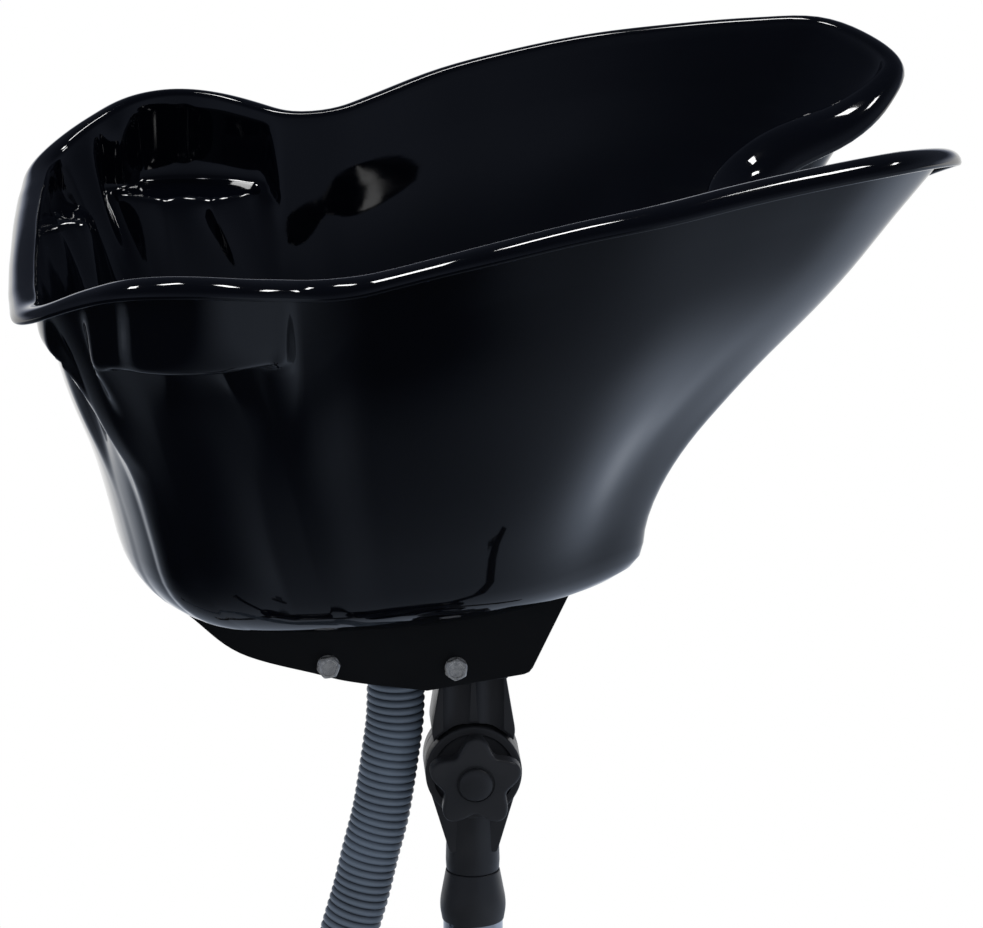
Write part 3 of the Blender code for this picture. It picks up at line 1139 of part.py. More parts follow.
def main():
    """Builds the basin from the bowl down."""
    clear_scene()
    gloss = material("gloss_black", (0.012, 0.014, 0.018), 0.08)
    satin = material("satin_black", (0.018, 0.019, 0.022), 0.45)
    slate = material("slate_plastic", (0.045, 0.050, 0.060), 0.50)
    hose_grey = material("hose_grey", (0.110, 0.135, 0.165), 0.40)
    rubber = material("rubber", (0.020, 0.020, 0.022), 0.70)
    zinc = material("zinc", (0.550, 0.560, 0.580), 0.30, 1.0)
    chrome = material("chrome", (0.700, 0.710, 0.730), 0.08, 1.0)
    tyre = material("tyre_grey", (0.060, 0.062, 0.066), 0.60)

    shell, under = basin_shell(gloss)
    cradle(under, satin)
    cradle_bolts(zinc)
    thread_end, nut_low = drain_parts(chrome, rubber, slate)
    hose_top = thread_end - SEAT_GAP
    curve, lengths = drain_hose(hose_top, hose_grey)
    hose_fittings(hose_top, curve, lengths, zinc, rubber)
    top_jaw(slate, zinc)
    lower_jaw(slate)
    tilt_clamp(slate, zinc)
    post_parts(slate, chrome, satin)
    base_parts(satin, slate, zinc)
    casters(zinc, tyre)


main()
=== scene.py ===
"""Dresses the portable shampoo basin: moulded bowl, cradle, tilting hinge, post, stand and drain hose.

Metres, +Z up, the floor at zero, the neck rest toward +X and the camera on the -Y side. Every new
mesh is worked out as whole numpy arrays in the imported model's frame.
"""
from __future__ import annotations

import logging
import math
from dataclasses import dataclass, field
from enum import Enum
from typing import Callable, Optional, Sequence, Union

import bmesh
import bpy
import numpy as np
from mathutils import Matrix, Vector
from mathutils.bvhtree import BVHTree


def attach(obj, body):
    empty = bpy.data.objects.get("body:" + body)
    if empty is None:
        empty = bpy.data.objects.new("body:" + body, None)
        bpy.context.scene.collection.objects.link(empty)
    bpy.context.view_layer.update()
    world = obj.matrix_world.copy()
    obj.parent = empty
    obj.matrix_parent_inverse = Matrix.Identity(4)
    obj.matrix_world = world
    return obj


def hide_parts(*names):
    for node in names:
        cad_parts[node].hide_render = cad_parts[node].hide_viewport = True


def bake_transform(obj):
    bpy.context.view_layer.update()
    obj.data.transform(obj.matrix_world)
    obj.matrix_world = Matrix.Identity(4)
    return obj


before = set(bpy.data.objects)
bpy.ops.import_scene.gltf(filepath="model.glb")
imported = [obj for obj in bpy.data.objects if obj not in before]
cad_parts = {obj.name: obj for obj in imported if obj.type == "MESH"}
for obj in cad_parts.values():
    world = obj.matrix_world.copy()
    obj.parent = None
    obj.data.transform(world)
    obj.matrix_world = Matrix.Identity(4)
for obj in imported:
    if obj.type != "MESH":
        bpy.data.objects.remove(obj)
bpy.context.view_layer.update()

LOG = logging.getLogger("basin")
Array = np.ndarray
Mesh = bpy.types.Mesh
Thing = bpy.types.Object
Value = Union["Signal", float, Sequence[float], bpy.types.NodeSocket]
Profile = tuple[tuple[float, float], ...]

SEAT_GAP = 0.0003
OVERRUN = 0.004
BOLT_HOLE = 0.0043
TO_FRONT = Matrix.Rotation(math.pi / 2.0, 4, "X")


# ---------------------------------------------------------------- arrays and meshes

def ease(value: Array) -> Array:
    """Smooth step: three t squared less two t cubed, t held between 0 and 1."""
    value = np.clip(value, 0.0, 1.0)
    return value * value * (3.0 - 2.0 * value)


def bump(value: Array, middle: float, half: float) -> Array:
    """A smooth hill: 1 at the middle, 0 from the given half width on."""
    return ease(1.0 - np.abs(value - middle) / half)


def curve_through(rows: Sequence[Sequence[float]], steps: int) -> Array:
    """A Catmull-Rom curve: a cubic for each span, its slopes half the chord of the span's neighbours.

    Args:
        rows: the points that the curve goes through.
        steps: points for each span.

    Returns:
        The curve's points, both ends kept.
    """
    rows = np.asarray(rows, dtype=float)
    padded = np.vstack([2.0 * rows[0] - rows[1], rows, 2.0 * rows[-1] - rows[-2]])
    t = (np.arange(steps) / steps)[None, :, None]
    a, b, c, d = (padded[k:len(padded) - 3 + k, None, :] for k in range(4))
    spans = 0.5 * (2.0 * b + (c - a) * t + (2.0 * a - 5.0 * b + 4.0 * c - d) * t ** 2
                   + (3.0 * b - a - 3.0 * c + d) * t ** 3)
    return np.vstack([spans.reshape(-1, rows.shape[1]), rows[-1:]])


def rounded(outline: Sequence[Sequence[float]], radius: Union[float, Sequence[float]],
            steps: int = 5) -> Array:
    """Rounds a closed polygon's corners with quadratic curves that start a radius away on each side.

    Args:
        outline: the polygon's corners.
        radius: one distance, or one for each corner.
        steps: points for each corner.

    Returns:
        The rounded outline's points.
    """
    corner = np.asarray(outline, dtype=float)
    back, ahead = np.roll(corner, 1, axis=0) - corner, np.roll(corner, -1, axis=0) - corner
    back_length = np.linalg.norm(back, axis=1, keepdims=True)
    ahead_length = np.linalg.norm(ahead, axis=1, keepdims=True)
    reach = np.broadcast_to(np.asarray(radius, dtype=float), len(corner))[:, None]
    reach = np.minimum(reach, 0.49 * np.minimum(back_length, ahead_length))
    start, end = corner + back / back_length * reach, corner + ahead / ahead_length * reach
    t = np.linspace(0.0, 1.0, steps)[None, :, None]
    arcs = (1.0 - t) ** 2 * start[:, None] + 2.0 * t * (1.0 - t) * corner[:, None] + t ** 2 * end[:, None]
    return arcs.reshape(-1, corner.shape[1])


def plan_normals(outline: Array) -> Array:
    """Unit normals of a closed plane outline: the chord between the neighbours, turned a quarter.

    Args:
        outline: the outline's points, either way round.

    Returns:
        The outward normals.
    """
    step = np.roll(outline, -1, axis=0) - np.roll(outline, 1, axis=0)
    normals = np.column_stack([-step[:, 1], step[:, 0]])
    normals /= np.maximum(np.linalg.norm(normals, axis=1), 1e-12)[:, None]
    around = np.sum(outline[:, 0] * np.roll(outline[:, 1], -1) - outline[:, 1] * np.roll(outline[:, 0], -1))
    return normals if around < 0.0 else -normals


def quads(rows: int, columns: int, loop_rows: bool) -> Array:
    """Four-cornered faces between neighbouring points of a grid whose rows are closed rings.

    Args:
        rows: how many rings.
        columns: points in each ring.
        loop_rows: whether the last ring joins the first.

    Returns:
        Each face's corner numbers, counted row by row.
    """
    i = np.arange(rows if loop_rows else rows - 1)[:, None]
    j = np.arange(columns)[None, :]
    ahead, beside = (i + 1) % rows, (j + 1) % columns
    corners = [i * columns + j, i * columns + beside, ahead * columns + beside, ahead * columns + j]
    return np.stack(corners, axis=-1).reshape(-1, 4)


def closed_mesh(points: Array, faces: Sequence[Sequence[int]], merge: float = 1e-6) -> Mesh:
    """A mesh with its doubles merged and its faces turned outward.

    Args:
        points: the corners, three numbers each.
        faces: each face's corner numbers.
        merge: corners closer than this become one.

    Returns:
        The mesh.
    """
    mesh = bpy.data.meshes.new("shape")
    mesh.from_pydata(np.asarray(points).reshape(-1, 3).tolist(), [], [list(f) for f in faces])
    work = bmesh.new()
    work.from_mesh(mesh)
    bmesh.ops.remove_doubles(work, verts=work.verts, dist=merge)
    bmesh.ops.delete(work, geom=[edge for edge in work.edges if not edge.link_faces], context="EDGES")
    bmesh.ops.recalc_face_normals(work, faces=work.faces)
    work.to_mesh(mesh)
    work.free()
    return mesh


def turned(profile: Sequence[Sequence[float]], sides: int = 64) -> Mesh:
    """Turns a closed (radius, height) profile about Z: x is r cos a, y is r sin a.

    Args:
        profile: the section's points; those at radius zero become poles.
        sides: columns round the axis.

    Returns:
        The mesh.
    """
    profile = np.asarray(profile, dtype=float)
    angle = math.tau * np.arange(sides)[None, :] / sides
    radius, height = profile[:, :1], profile[:, 1:]
    grid = np.stack([radius * np.cos(angle), radius * np.sin(angle), height + 0.0 * angle], axis=2)
    return closed_mesh(grid, quads(len(profile), sides, True).tolist())


def soft_turned(profile: Sequence[Sequence[float]], radius: float, sides: int = 64, steps: int = 5) -> Mesh:
    """Turns a closed profile whose corners off the axis are rounded by the given radius."""
    profile = np.asarray(profile, dtype=float)
    return turned(rounded(profile, np.where(profile[:, 0] > 1e-9, radius, 0.0), steps), sides)


def section(inner: float, outer: float, low: float, high: float) -> Profile:
    """The section of a plain ring, or of a disc where the inner radius is zero."""
    return (inner, low), (outer, low), (outer, high), (inner, high)


def cylinder(radius: float, low: float, high: float, sides: int = 64) -> Mesh:
    """A plain cylinder along Z, used as a cutter."""
    return turned(section(0.0, radius, low, high), sides)


def plate(outline: Array, low: float, high: float, edge: float = 0.0004, steps: int = 4) -> Mesh:
    """A flat outline carried along Z with rolled edges: each ring is drawn in by a quarter circle.

    Args:
        outline: points in X and Y.
        low: the lower face's height.
        high: the upper face's height.
        edge: the rolled edge's radius.
        steps: rings for each edge.

    Returns:
        The mesh, closed by a flat face at each end.
    """
    turn = np.linspace(0.0, math.pi / 2.0, steps)
    inset = np.concatenate([edge * (1.0 - np.sin(turn)), edge * (1.0 - np.cos(turn))])
    height = np.concatenate([low + edge * (1.0 - np.cos(turn)), high - edge + edge * np.sin(turn)])
    normals = plan_normals(outline)
    plan = outline[None] - normals[None] * inset[:, None, None]
    grid = np.concatenate([plan, np.broadcast_to(height[:, None, None], plan.shape[:2] + (1,))], axis=2)
    count = len(outline)
    faces = quads(len(inset), count, False).tolist()
    faces += [list(range(count)), [(len(inset) - 1) * count + k for k in range(count)]]
    return closed_mesh(grid, faces, 1e-7)


def block(low: Sequence[float], high: Sequence[float], corner: float = 0.001,
          edge: float = 0.0004) -> Mesh:
    """An upright box with rounded corners and rolled edges between two corner points."""
    outline = rounded([(low[0], low[1]), (high[0], low[1]), (high[0], high[1]), (low[0], high[1])], corner)
    return plate(outline, low[2], high[2], edge)


def placed(mesh: Mesh, *steps: Matrix) -> Mesh:
    """Applies matrices to a mesh, the first one first, and returns it."""
    for step in steps:
        mesh.transform(step)
    return mesh


def shift(x: float, y: float, z: float) -> Matrix:
    """A move by three lengths."""
    return Matrix.Translation((x, y, z))


def spin(angle: float, axis: str = "Z") -> Matrix:
    """A turn by an angle about one of the main axes."""
    return Matrix.Rotation(angle, 4, axis)


def facing(side: float) -> Matrix:
    """Turns +Z toward -Y where the side is below zero, and toward +Y where it is above."""
    return TO_FRONT if side < 0.0 else spin(math.pi) @ TO_FRONT


def laid(mesh: Mesh, *steps: Matrix) -> Mesh:
    """Lays an upright mesh toward -Y and then moves it."""
    return placed(mesh, TO_FRONT, *steps)


def copied(mesh: Mesh, *steps: Matrix) -> Mesh:
    """A copy of a mesh with matrices applied."""
    return placed(mesh.copy(), *steps)


def leaned(direction: Vector) -> Matrix:
    """The shortest turn that takes +Z to a direction."""
    return Vector((0.0, 0.0, 1.0)).rotation_difference(direction).to_matrix().to_4x4()


def gathered(*meshes: Mesh) -> Mesh:
    """One mesh that holds several, each still a closed body of its own.

    Args:
        meshes: the bodies.

    Returns:
        The new mesh.
    """
    work = bmesh.new()
    for mesh in meshes:
        work.from_mesh(mesh)
    made = bpy.data.meshes.new("group")
    work.to_mesh(made)
    work.free()
    return made


def carved(base: Mesh, others: Sequence[Mesh], operation: str = "DIFFERENCE") -> Mesh:
    """Cuts meshes from a body, or joins them to it, with exact Booleans.

    Args:
        base: the body.
        others: the meshes to cut or join, one after another.
        operation: DIFFERENCE, INTERSECT or UNION.

    Returns:
        The new mesh.
    """
    result = base
    for other in others:
        pair = [bpy.data.objects.new("work", result), bpy.data.objects.new("tool", other)]
        for thing in pair:
            bpy.context.scene.collection.objects.link(thing)
        step = pair[0].modifiers.new("step", "BOOLEAN")
        step.operation, step.solver, step.object = operation, "MANIFOLD", pair[1]
        graph = bpy.context.evaluated_depsgraph_get()
        result = bpy.data.meshes.new_from_object(pair[0].evaluated_get(graph))
        for thing in pair:
            bpy.data.objects.remove(thing, do_unlink=True)
        work = bmesh.new()
        work.from_mesh(result)
        bmesh.ops.remove_doubles(work, verts=work.verts, dist=2e-6)
        bmesh.ops.dissolve_degenerate(work, edges=work.edges, dist=2e-6)
        work.to_mesh(result)
        work.free()
    return result


# ---------------------------------------------------------------- shader bench

def operator(operation: str, swapped: bool = False) -> Callable[[Signal, Value], Signal]:
    """The Python operator that stands for a Math node's operation."""
    return lambda one, other: one.reckon(operation, other, swapped)


class Signal:
    """One shader socket as a number that Python can reckon with."""

    __add__, __radd__ = operator("ADD"), operator("ADD", True)
    __mul__, __rmul__ = operator("MULTIPLY"), operator("MULTIPLY", True)
    __rsub__, __pow__ = operator("SUBTRACT", True), operator("POWER")

    def __init__(self, bench: "Bench", socket: bpy.types.NodeSocket) -> None:
        """Keeps the bench and the socket."""
        self.bench, self.socket = bench, socket

    def reckon(self, operation: str, other: Value, swapped: bool = False) -> "Signal":
        """Adds a Math node of this signal and another value.

        Args:
            operation: the Math node's operation.
            other: a signal or a number.
            swapped: whether the other value comes first.

        Returns:
            The node's result.
        """
        pair = (other, self) if swapped else (self, other)
        return self.bench.signal("ShaderNodeMath", {"operation": operation}, {0: pair[0], 1: pair[1]})

    def step(self, low: float, high: float) -> "Signal":
        """Rises smoothly from 0 at low to 1 at high."""
        return self.bench.signal("ShaderNodeMapRange", {"interpolation_type": "SMOOTHSTEP"},
                                 {0: self, 1: low, 2: high, 3: 0.0, 4: 1.0})


class Bench:
    """Adds nodes to one node tree."""

    def __init__(self, tree: bpy.types.NodeTree) -> None:
        """Keeps the tree and empties it."""
        self.tree = tree
        tree.nodes.clear()

    @staticmethod
    def find(sockets: bpy.types.bpy_prop_collection, key: Union[int, str]) -> bpy.types.NodeSocket:
        """A socket by number, identifier or name.

        Args:
            sockets: a node's inputs or outputs.
            key: which of them.

        Returns:
            The socket.
        """
        if isinstance(key, int):
            return sockets[key]
        named = [s for s in sockets if s.identifier == key] or [s for s in sockets if s.name == key]
        return named[0]

    def node(self, kind: str, settings: Optional[dict] = None,
             values: Optional[dict] = None) -> bpy.types.Node:
        """Adds a node.

        Args:
            kind: the node's type.
            settings: its settings, set first.
            values: a number, colour, signal or socket for each input.

        Returns:
            The node.
        """
        made = self.tree.nodes.new(kind)
        for name, value in (settings or {}).items():
            setattr(made, name, value)
        for key, value in (values or {}).items():
            socket = self.find(made.inputs, key)
            if isinstance(value, Signal):
                self.tree.links.new(value.socket, socket)
            elif isinstance(value, bpy.types.NodeSocket):
                self.tree.links.new(value, socket)
            else:
                socket.default_value = value
        return made

    def signal(self, kind: str, settings: Optional[dict] = None, values: Optional[dict] = None,
               output: Union[int, str] = 0) -> Signal:
        """Adds a node and wraps one of its outputs."""
        return Signal(self, self.find(self.node(kind, settings, values).outputs, output))

    def blend(self, factor: Value, first: Value, second: Value) -> Signal:
        """Mixes two colours."""
        return self.signal("ShaderNodeMix", {"data_type": "RGBA"},
                           {"Factor_Float": factor, "A_Color": first, "B_Color": second}, "Result_Color")

    def noise(self, place: Value, scale: float, detail: float = 2.0, rough: float = 0.5) -> Signal:
        """A noise between 0 and 1 at a place."""
        return self.signal("ShaderNodeTexNoise", {"noise_dimensions": "3D"},
                           {"Vector": place, "Scale": scale, "Detail": detail, "Roughness": rough})


class Grain(Enum):
    """What a finish's surface looks like close up."""

    GLOSS = "polished moulding with faint smears"
    TEXTURED = "fine spark-eroded moulding"
    SPRAYED = "sprayed paint with a slight orange peel"
    LINED = "drawn or polished metal with fine lines"
    PLATED = "plated metal with a mottled bloom"
    # RIBBED darkens the hose's valleys with painted shade.
    RIBBED = "hose that holds dust in its valleys"


@dataclass(frozen=True)
class Finish:
    """A material: its colours, gloss and grain, and the slot name that it stands for."""

    name: str
    slot: str
    colour: tuple[float, float, float]
    shade: tuple[float, float, float]
    rough: tuple[float, float]
    grain: Grain
    metallic: float = 0.0
    coat: float = 0.0
    patch: float = 14.0
    fine: float = 900.0
    depth: float = 0.00002
    ior: float = 1.5

    def material(self) -> bpy.types.Material:
        """The finish's material, made once and then reused.

        Returns:
            The material.
        """
        found = bpy.data.materials.get(self.name)
        if found is not None:
            return found
        made = bpy.data.materials.new(self.name)
        made.use_nodes = True
        bench = Bench(made.node_tree)
        place = bench.signal("ShaderNodeTexCoord", output="Object")
        cloud = bench.noise(place, self.patch, 3.0).step(0.3, 0.7)
        colour, rough, height = self.layers(bench, place, cloud)
        relief = bench.signal("ShaderNodeBump", {}, {"Strength": 1.0, "Distance": self.depth,
                                                     "Height": height})
        shader = bench.signal("ShaderNodeBsdfPrincipled", {}, {
            "Base Color": colour, "Roughness": rough, "Metallic": self.metallic, "IOR": self.ior,
            "Coat Weight": self.coat, "Coat Roughness": 0.05, "Normal": relief})
        bench.node("ShaderNodeOutputMaterial", {}, {"Surface": shader})
        return made

    def layers(self, bench: Bench, place: Signal, cloud: Signal) -> tuple[Signal, Signal, Signal]:
        """Colour, roughness and height over the surface.

        Args:
            bench: where the nodes go.
            place: the object coordinates.
            cloud: a soft, large noise.

        Returns:
            The three signals.
        """
        low, high = self.rough
        grainy = bench.noise(place, self.fine, 2.0)
        colour = bench.blend(cloud, (*self.colour, 1.0), (*self.shade, 1.0))
        rough = low + (high - low) * cloud
        height = grainy
        if self.grain is Grain.GLOSS:
            drawn = bench.signal("ShaderNodeMapping", {}, {"Vector": place, "Scale": (3.0, 3.0, 14.0)})
            smear = bench.noise(drawn, 9.0)
            rough = low + (high - low) * (smear.step(0.45, 0.75) * 0.7 + cloud * 0.3)
            height = bench.noise(place, 55.0, 1.0) * 0.8 + grainy * 0.2
        elif self.grain is Grain.TEXTURED:
            pits = bench.signal("ShaderNodeTexVoronoi", {"feature": "F1"},
                                {"Vector": place, "Scale": self.fine * 0.7})
            rough = rough + grainy * 0.08
            height = pits.step(0.0, 0.7) * 0.6 + grainy * 0.4
        elif self.grain is Grain.LINED:
            along = bench.signal("ShaderNodeMapping", {}, {"Vector": place, "Scale": (1.0, 1.0, 0.012)})
            lines = bench.noise(along, self.fine, 3.0, 0.7)
            rough = low + (high - low) * lines
            height = lines
        elif self.grain is Grain.PLATED:
            bloom = bench.noise(place, 420.0, 3.0, 0.7).step(0.35, 0.7)
            colour = bench.blend(bloom, (*self.colour, 1.0), (*self.shade, 1.0))
            rough = low + (high - low) * bloom
            height = grainy * 0.5 + bloom * 0.5
        elif self.grain is Grain.RIBBED:
            crest = bench.signal("ShaderNodeAttribute", {"attribute_name": "crest"}, {}, "Fac")
            # Valleys darkened toward the shade colour: painted shade in the grooves, a little uneven, which
            # also roughens them.
            painted_shade = (1.0 - crest) * (0.65 + 0.35 * cloud)
            colour = bench.blend(painted_shade, (*self.colour, 1.0), (*self.shade, 1.0))
            colour = bench.blend(cloud * 0.12, colour, (*self.shade, 1.0))
            rough = rough + painted_shade * 0.25
        return colour, rough, height


GLOSS_BLACK = Finish("gloss_black_moulding", "gloss_black", (0.0006, 0.0009, 0.0022),
                     (0.0010, 0.0014, 0.0032), (0.035, 0.095), Grain.GLOSS, coat=0.15, patch=9.0,
                     fine=700.0, depth=0.00002)
SATIN_BLACK = Finish("satin_black_paint", "satin_black", (0.0010, 0.0010, 0.0013),
                     (0.0018, 0.0018, 0.0022), (0.34, 0.46), Grain.SPRAYED, fine=650.0, depth=0.00003)
SLATE = Finish("slate_plastic_moulding", "slate_plastic", (0.036, 0.040, 0.048), (0.030, 0.033, 0.040),
               (0.40, 0.50), Grain.TEXTURED, patch=30.0, fine=1500.0, depth=0.00003)
DARK_SLATE = Finish("dark_slate_moulding", "slate_plastic", (0.019, 0.021, 0.026), (0.026, 0.028, 0.034),
                    (0.30, 0.42), Grain.TEXTURED, patch=26.0, fine=1300.0, depth=0.00002)
# HOSE_GREY's second colour is the painted shade put into the hose's valleys.
HOSE_GREY = Finish("ribbed_hose_grey", "hose_grey", (0.165, 0.212, 0.285), (0.020, 0.026, 0.038),
                   (0.30, 0.40), Grain.RIBBED, patch=24.0, fine=900.0, depth=0.00002)
RUBBER = Finish("black_rubber", "rubber", (0.018, 0.018, 0.020), (0.026, 0.026, 0.027),
                (0.60, 0.75), Grain.TEXTURED, patch=40.0, fine=1200.0, depth=0.00004)
ZINC = Finish("zinc_plate", "zinc", (0.68, 0.69, 0.71), (0.36, 0.37, 0.39), (0.20, 0.38), Grain.PLATED,
              metallic=0.6, fine=1500.0, depth=0.00003)
CHROME = Finish("polished_chrome", "chrome", (0.66, 0.67, 0.69), (0.60, 0.61, 0.64), (0.05, 0.12),
                Grain.LINED, metallic=1.0, patch=30.0, fine=500.0, depth=0.000006)
TYRE = Finish("caster_tyre", "tyre_grey", (0.055, 0.057, 0.061), (0.075, 0.077, 0.080), (0.50, 0.65),
              Grain.TEXTURED, patch=60.0, fine=1500.0, depth=0.00004)
NYLON = Finish("caster_hub_nylon", "tyre_grey", (0.030, 0.031, 0.034), (0.040, 0.041, 0.044), (0.35, 0.48),
               Grain.TEXTURED, patch=60.0, fine=1500.0, depth=0.00002)


def piece(name: str, mesh: Mesh, finish: Finish, body: Optional[str], nodes: Sequence[str] = (),
          sharp: float = 32.0) -> Thing:
    """Links a mesh as a finished piece.

    Args:
        name: the piece's name.
        mesh: its mesh, already in place.
        finish: its material.
        body: the body it rides on, or None to leave it unattached.
        nodes: the CAD nodes it stands for.
        sharp: edges over this many degrees stay sharp.

    Returns:
        The object.
    """
    mesh.name = name
    mesh.materials.clear()
    mesh.materials.append(finish.material())
    thing = bpy.data.objects.new(name, mesh)
    bpy.context.scene.collection.objects.link(thing)
    mesh.shade_smooth()
    mesh.set_sharp_from_angle(angle=math.radians(sharp))
    flat = thing.modifiers.new("flat", "WEIGHTED_NORMAL")
    flat.keep_sharp, flat.weight = True, 60
    if body is not None:
        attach(thing, body)
    if nodes:
        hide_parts(*nodes)
    LOG.info("%s: %d faces, on %s, for %s", name, len(mesh.polygons), body or "two bodies",
             ", ".join(nodes) or "detail")
    return thing


# ---------------------------------------------------------------- camera and studio

@dataclass(frozen=True)
class Viewpoint:
    """The camera at the photograph's angle: place, angles in radians, and its focal length in pixels."""

    place: tuple[float, float, float] = (-0.1844, -3.4422, 1.7524)
    yaw: float = 0.0557
    pitch: float = 0.2769
    roll: float = -0.0041
    focal: float = 5737.9
    width: float = 983.0

    def make(self) -> Thing:
        """Adds the camera and makes it the scene's.

        Returns:
            The camera.
        """
        level = math.cos(self.pitch)
        forward = np.array([math.sin(self.yaw) * level, math.cos(self.yaw) * level, -math.sin(self.pitch)])
        right = np.array([math.cos(self.yaw), -math.sin(self.yaw), 0.0])
        up = np.cross(right, forward)
        across = math.cos(self.roll) * right + math.sin(self.roll) * up
        upward = -math.sin(self.roll) * right + math.cos(self.roll) * up
        data = bpy.data.cameras.new("viewpoint")
        data.sensor_fit, data.sensor_width = "HORIZONTAL", 36.0
        data.lens = self.focal * data.sensor_width / self.width
        data.clip_end = 100.0
        camera = bpy.data.objects.new("viewpoint", data)
        bpy.context.scene.collection.objects.link(camera)
        turn = Matrix((across, upward, -forward)).transposed().to_4x4()
        camera.matrix_world = Matrix.Translation(self.place) @ turn
        bpy.context.scene.camera = camera
        return camera


@dataclass
class Studio:
    """A pale floor, a white surrounding, soft light and a few small ceiling panels.

    Each panel is its place, its width and depth, and its power.
    """

    floor_half: float = 14.0
    fill: float = 0.55
    panels: tuple[tuple[float, float, float, float, float, float], ...] = (
        (-1.20, 0.55, 2.9, 0.46, 0.20, 6.5),
        (-0.40, 0.60, 2.9, 0.46, 0.20, 6.5),
        (0.55, 0.55, 2.9, 0.46, 0.20, 6.5),
        (1.55, 0.30, 2.9, 0.46, 0.20, 6.5),
    )

    @staticmethod
    def rays(bench: Bench) -> tuple[Signal, Signal]:
        """Whether a ray comes from the camera, straight or through glass, and whether a mirror sent it.

        Args:
            bench: where the node goes.

        Returns:
            The two signals, each 0 or 1.
        """
        path = bench.node("ShaderNodeLightPath").outputs
        seen = Signal(bench, path["Is Camera Ray"]) + Signal(bench, path["Is Transmission Ray"])
        return seen, Signal(bench, path["Is Glossy Ray"])

    def make(self) -> None:
        """Adds the floor, the surroundings and the panels."""
        self.floor()
        self.surroundings()
        for number, (x, y, z, wide, deep, power) in enumerate(self.panels):
            light = bpy.data.lights.new(f"panel_{number}", "AREA")
            light.shape, light.size, light.size_y, light.energy = "RECTANGLE", wide, deep, power
            lamp = bpy.data.objects.new(f"panel_{number}", light)
            bpy.context.scene.collection.objects.link(lamp)
            lamp.location = (x, y, z)
            aim = Vector((0.0, 0.0, 0.8)) - Vector((x, y, z))
            lamp.rotation_euler = aim.to_track_quat("-Z", "Y").to_euler()

    def floor(self) -> None:
        """The floor: matt close by, where it holds the shadow, plain white farther out, and graded where
        gloss mirrors it: dim near the object and white behind it."""
        half = self.floor_half
        mesh = bpy.data.meshes.new("floor")
        corners = [(-half, -half, 0.0), (half, -half, 0.0), (half, half, 0.0), (-half, half, 0.0)]
        mesh.from_pydata(corners, [], [(0, 1, 2, 3)])
        ground = bpy.data.objects.new("floor", mesh)
        bpy.context.scene.collection.objects.link(ground)
        made = bpy.data.materials.new("pale_floor")
        made.use_nodes = True
        bench = Bench(made.node_tree)
        place = bench.signal("ShaderNodeTexCoord", output="Object")
        split = bench.node("ShaderNodeSeparateXYZ", {}, {0: place})
        x, y = Signal(bench, split.outputs[0]), Signal(bench, split.outputs[1])
        away = (x * x + y * y) ** 0.5
        seen, glossy = self.rays(bench)
        matt = bench.signal("ShaderNodeBsdfDiffuse", {}, {"Color": (0.92, 0.92, 0.92, 1.0)})
        white = bench.signal("ShaderNodeEmission", {}, {"Color": (1.0, 1.0, 1.0, 1.0), "Strength": 1.0})
        near = bench.signal("ShaderNodeMixShader", {}, {0: seen * away.step(0.55, 1.15), 1: matt, 2: white})
        far = y.step(0.5, 2.3)
        close = (x + y * 0.3).step(-0.9, 1.1) * 0.30 + y.step(-0.3, 0.5) * 0.16
        level = 0.02 + far * 0.98 + (1.0 - far) * close
        tone = bench.blend(far, (0.82, 0.95, 1.18, 1.0), (1.0, 1.0, 1.0, 1.0))
        mirror = bench.signal("ShaderNodeEmission", {}, {"Color": tone, "Strength": level})
        both = bench.signal("ShaderNodeMixShader", {}, {0: glossy, 1: near, 2: mirror})
        bench.node("ShaderNodeOutputMaterial", {}, {"Surface": both})
        made.cycles.emission_sampling = "NONE"
        mesh.materials.append(made)

    def surroundings(self) -> None:
        """The world: white to the camera, even and soft as light, and graded where gloss mirrors it."""
        world = bpy.data.worlds.new("studio")
        bpy.context.scene.world = world
        world.use_nodes = True
        bench = Bench(world.node_tree)
        place = bench.signal("ShaderNodeTexCoord", output="Generated")
        toward = bench.node("ShaderNodeSeparateXYZ", {}, {0: place})
        x, y, z = (Signal(bench, toward.outputs[k]) for k in range(3))
        seen, glossy = self.rays(bench)
        behind = y.step(0.40, 0.85) * (1.0 - z.step(-0.05, 0.18))
        side = (x * x) * (1.0 - z.step(0.2, 0.8)) * 0.10
        front = (0.0 - y).step(0.2, 0.9) * (1.0 - z.step(0.1, 0.9)) * 0.10
        level = 0.04 + behind * 0.95 + side + front
        tone = bench.blend(behind, (0.80, 0.92, 1.25, 1.0), (1.0, 1.0, 1.0, 1.0))
        graded = bench.signal("ShaderNodeBackground", {}, {"Color": tone, "Strength": level})
        soft = bench.signal("ShaderNodeBackground", {},
                            {"Color": (0.97, 0.985, 1.0, 1.0), "Strength": self.fill})
        white = bench.signal("ShaderNodeBackground", {}, {"Color": (1.0, 1.0, 1.0, 1.0), "Strength": 1.0})
        lit = bench.signal("ShaderNodeMixShader", {}, {0: glossy, 1: soft, 2: graded})
        both = bench.signal("ShaderNodeMixShader", {}, {0: seen, 1: lit, 2: white})
        bench.node("ShaderNodeOutputWorld", {}, {"Surface": both})
        bpy.context.scene.view_settings.view_transform = "Standard"


# ---------------------------------------------------------------- drain hose

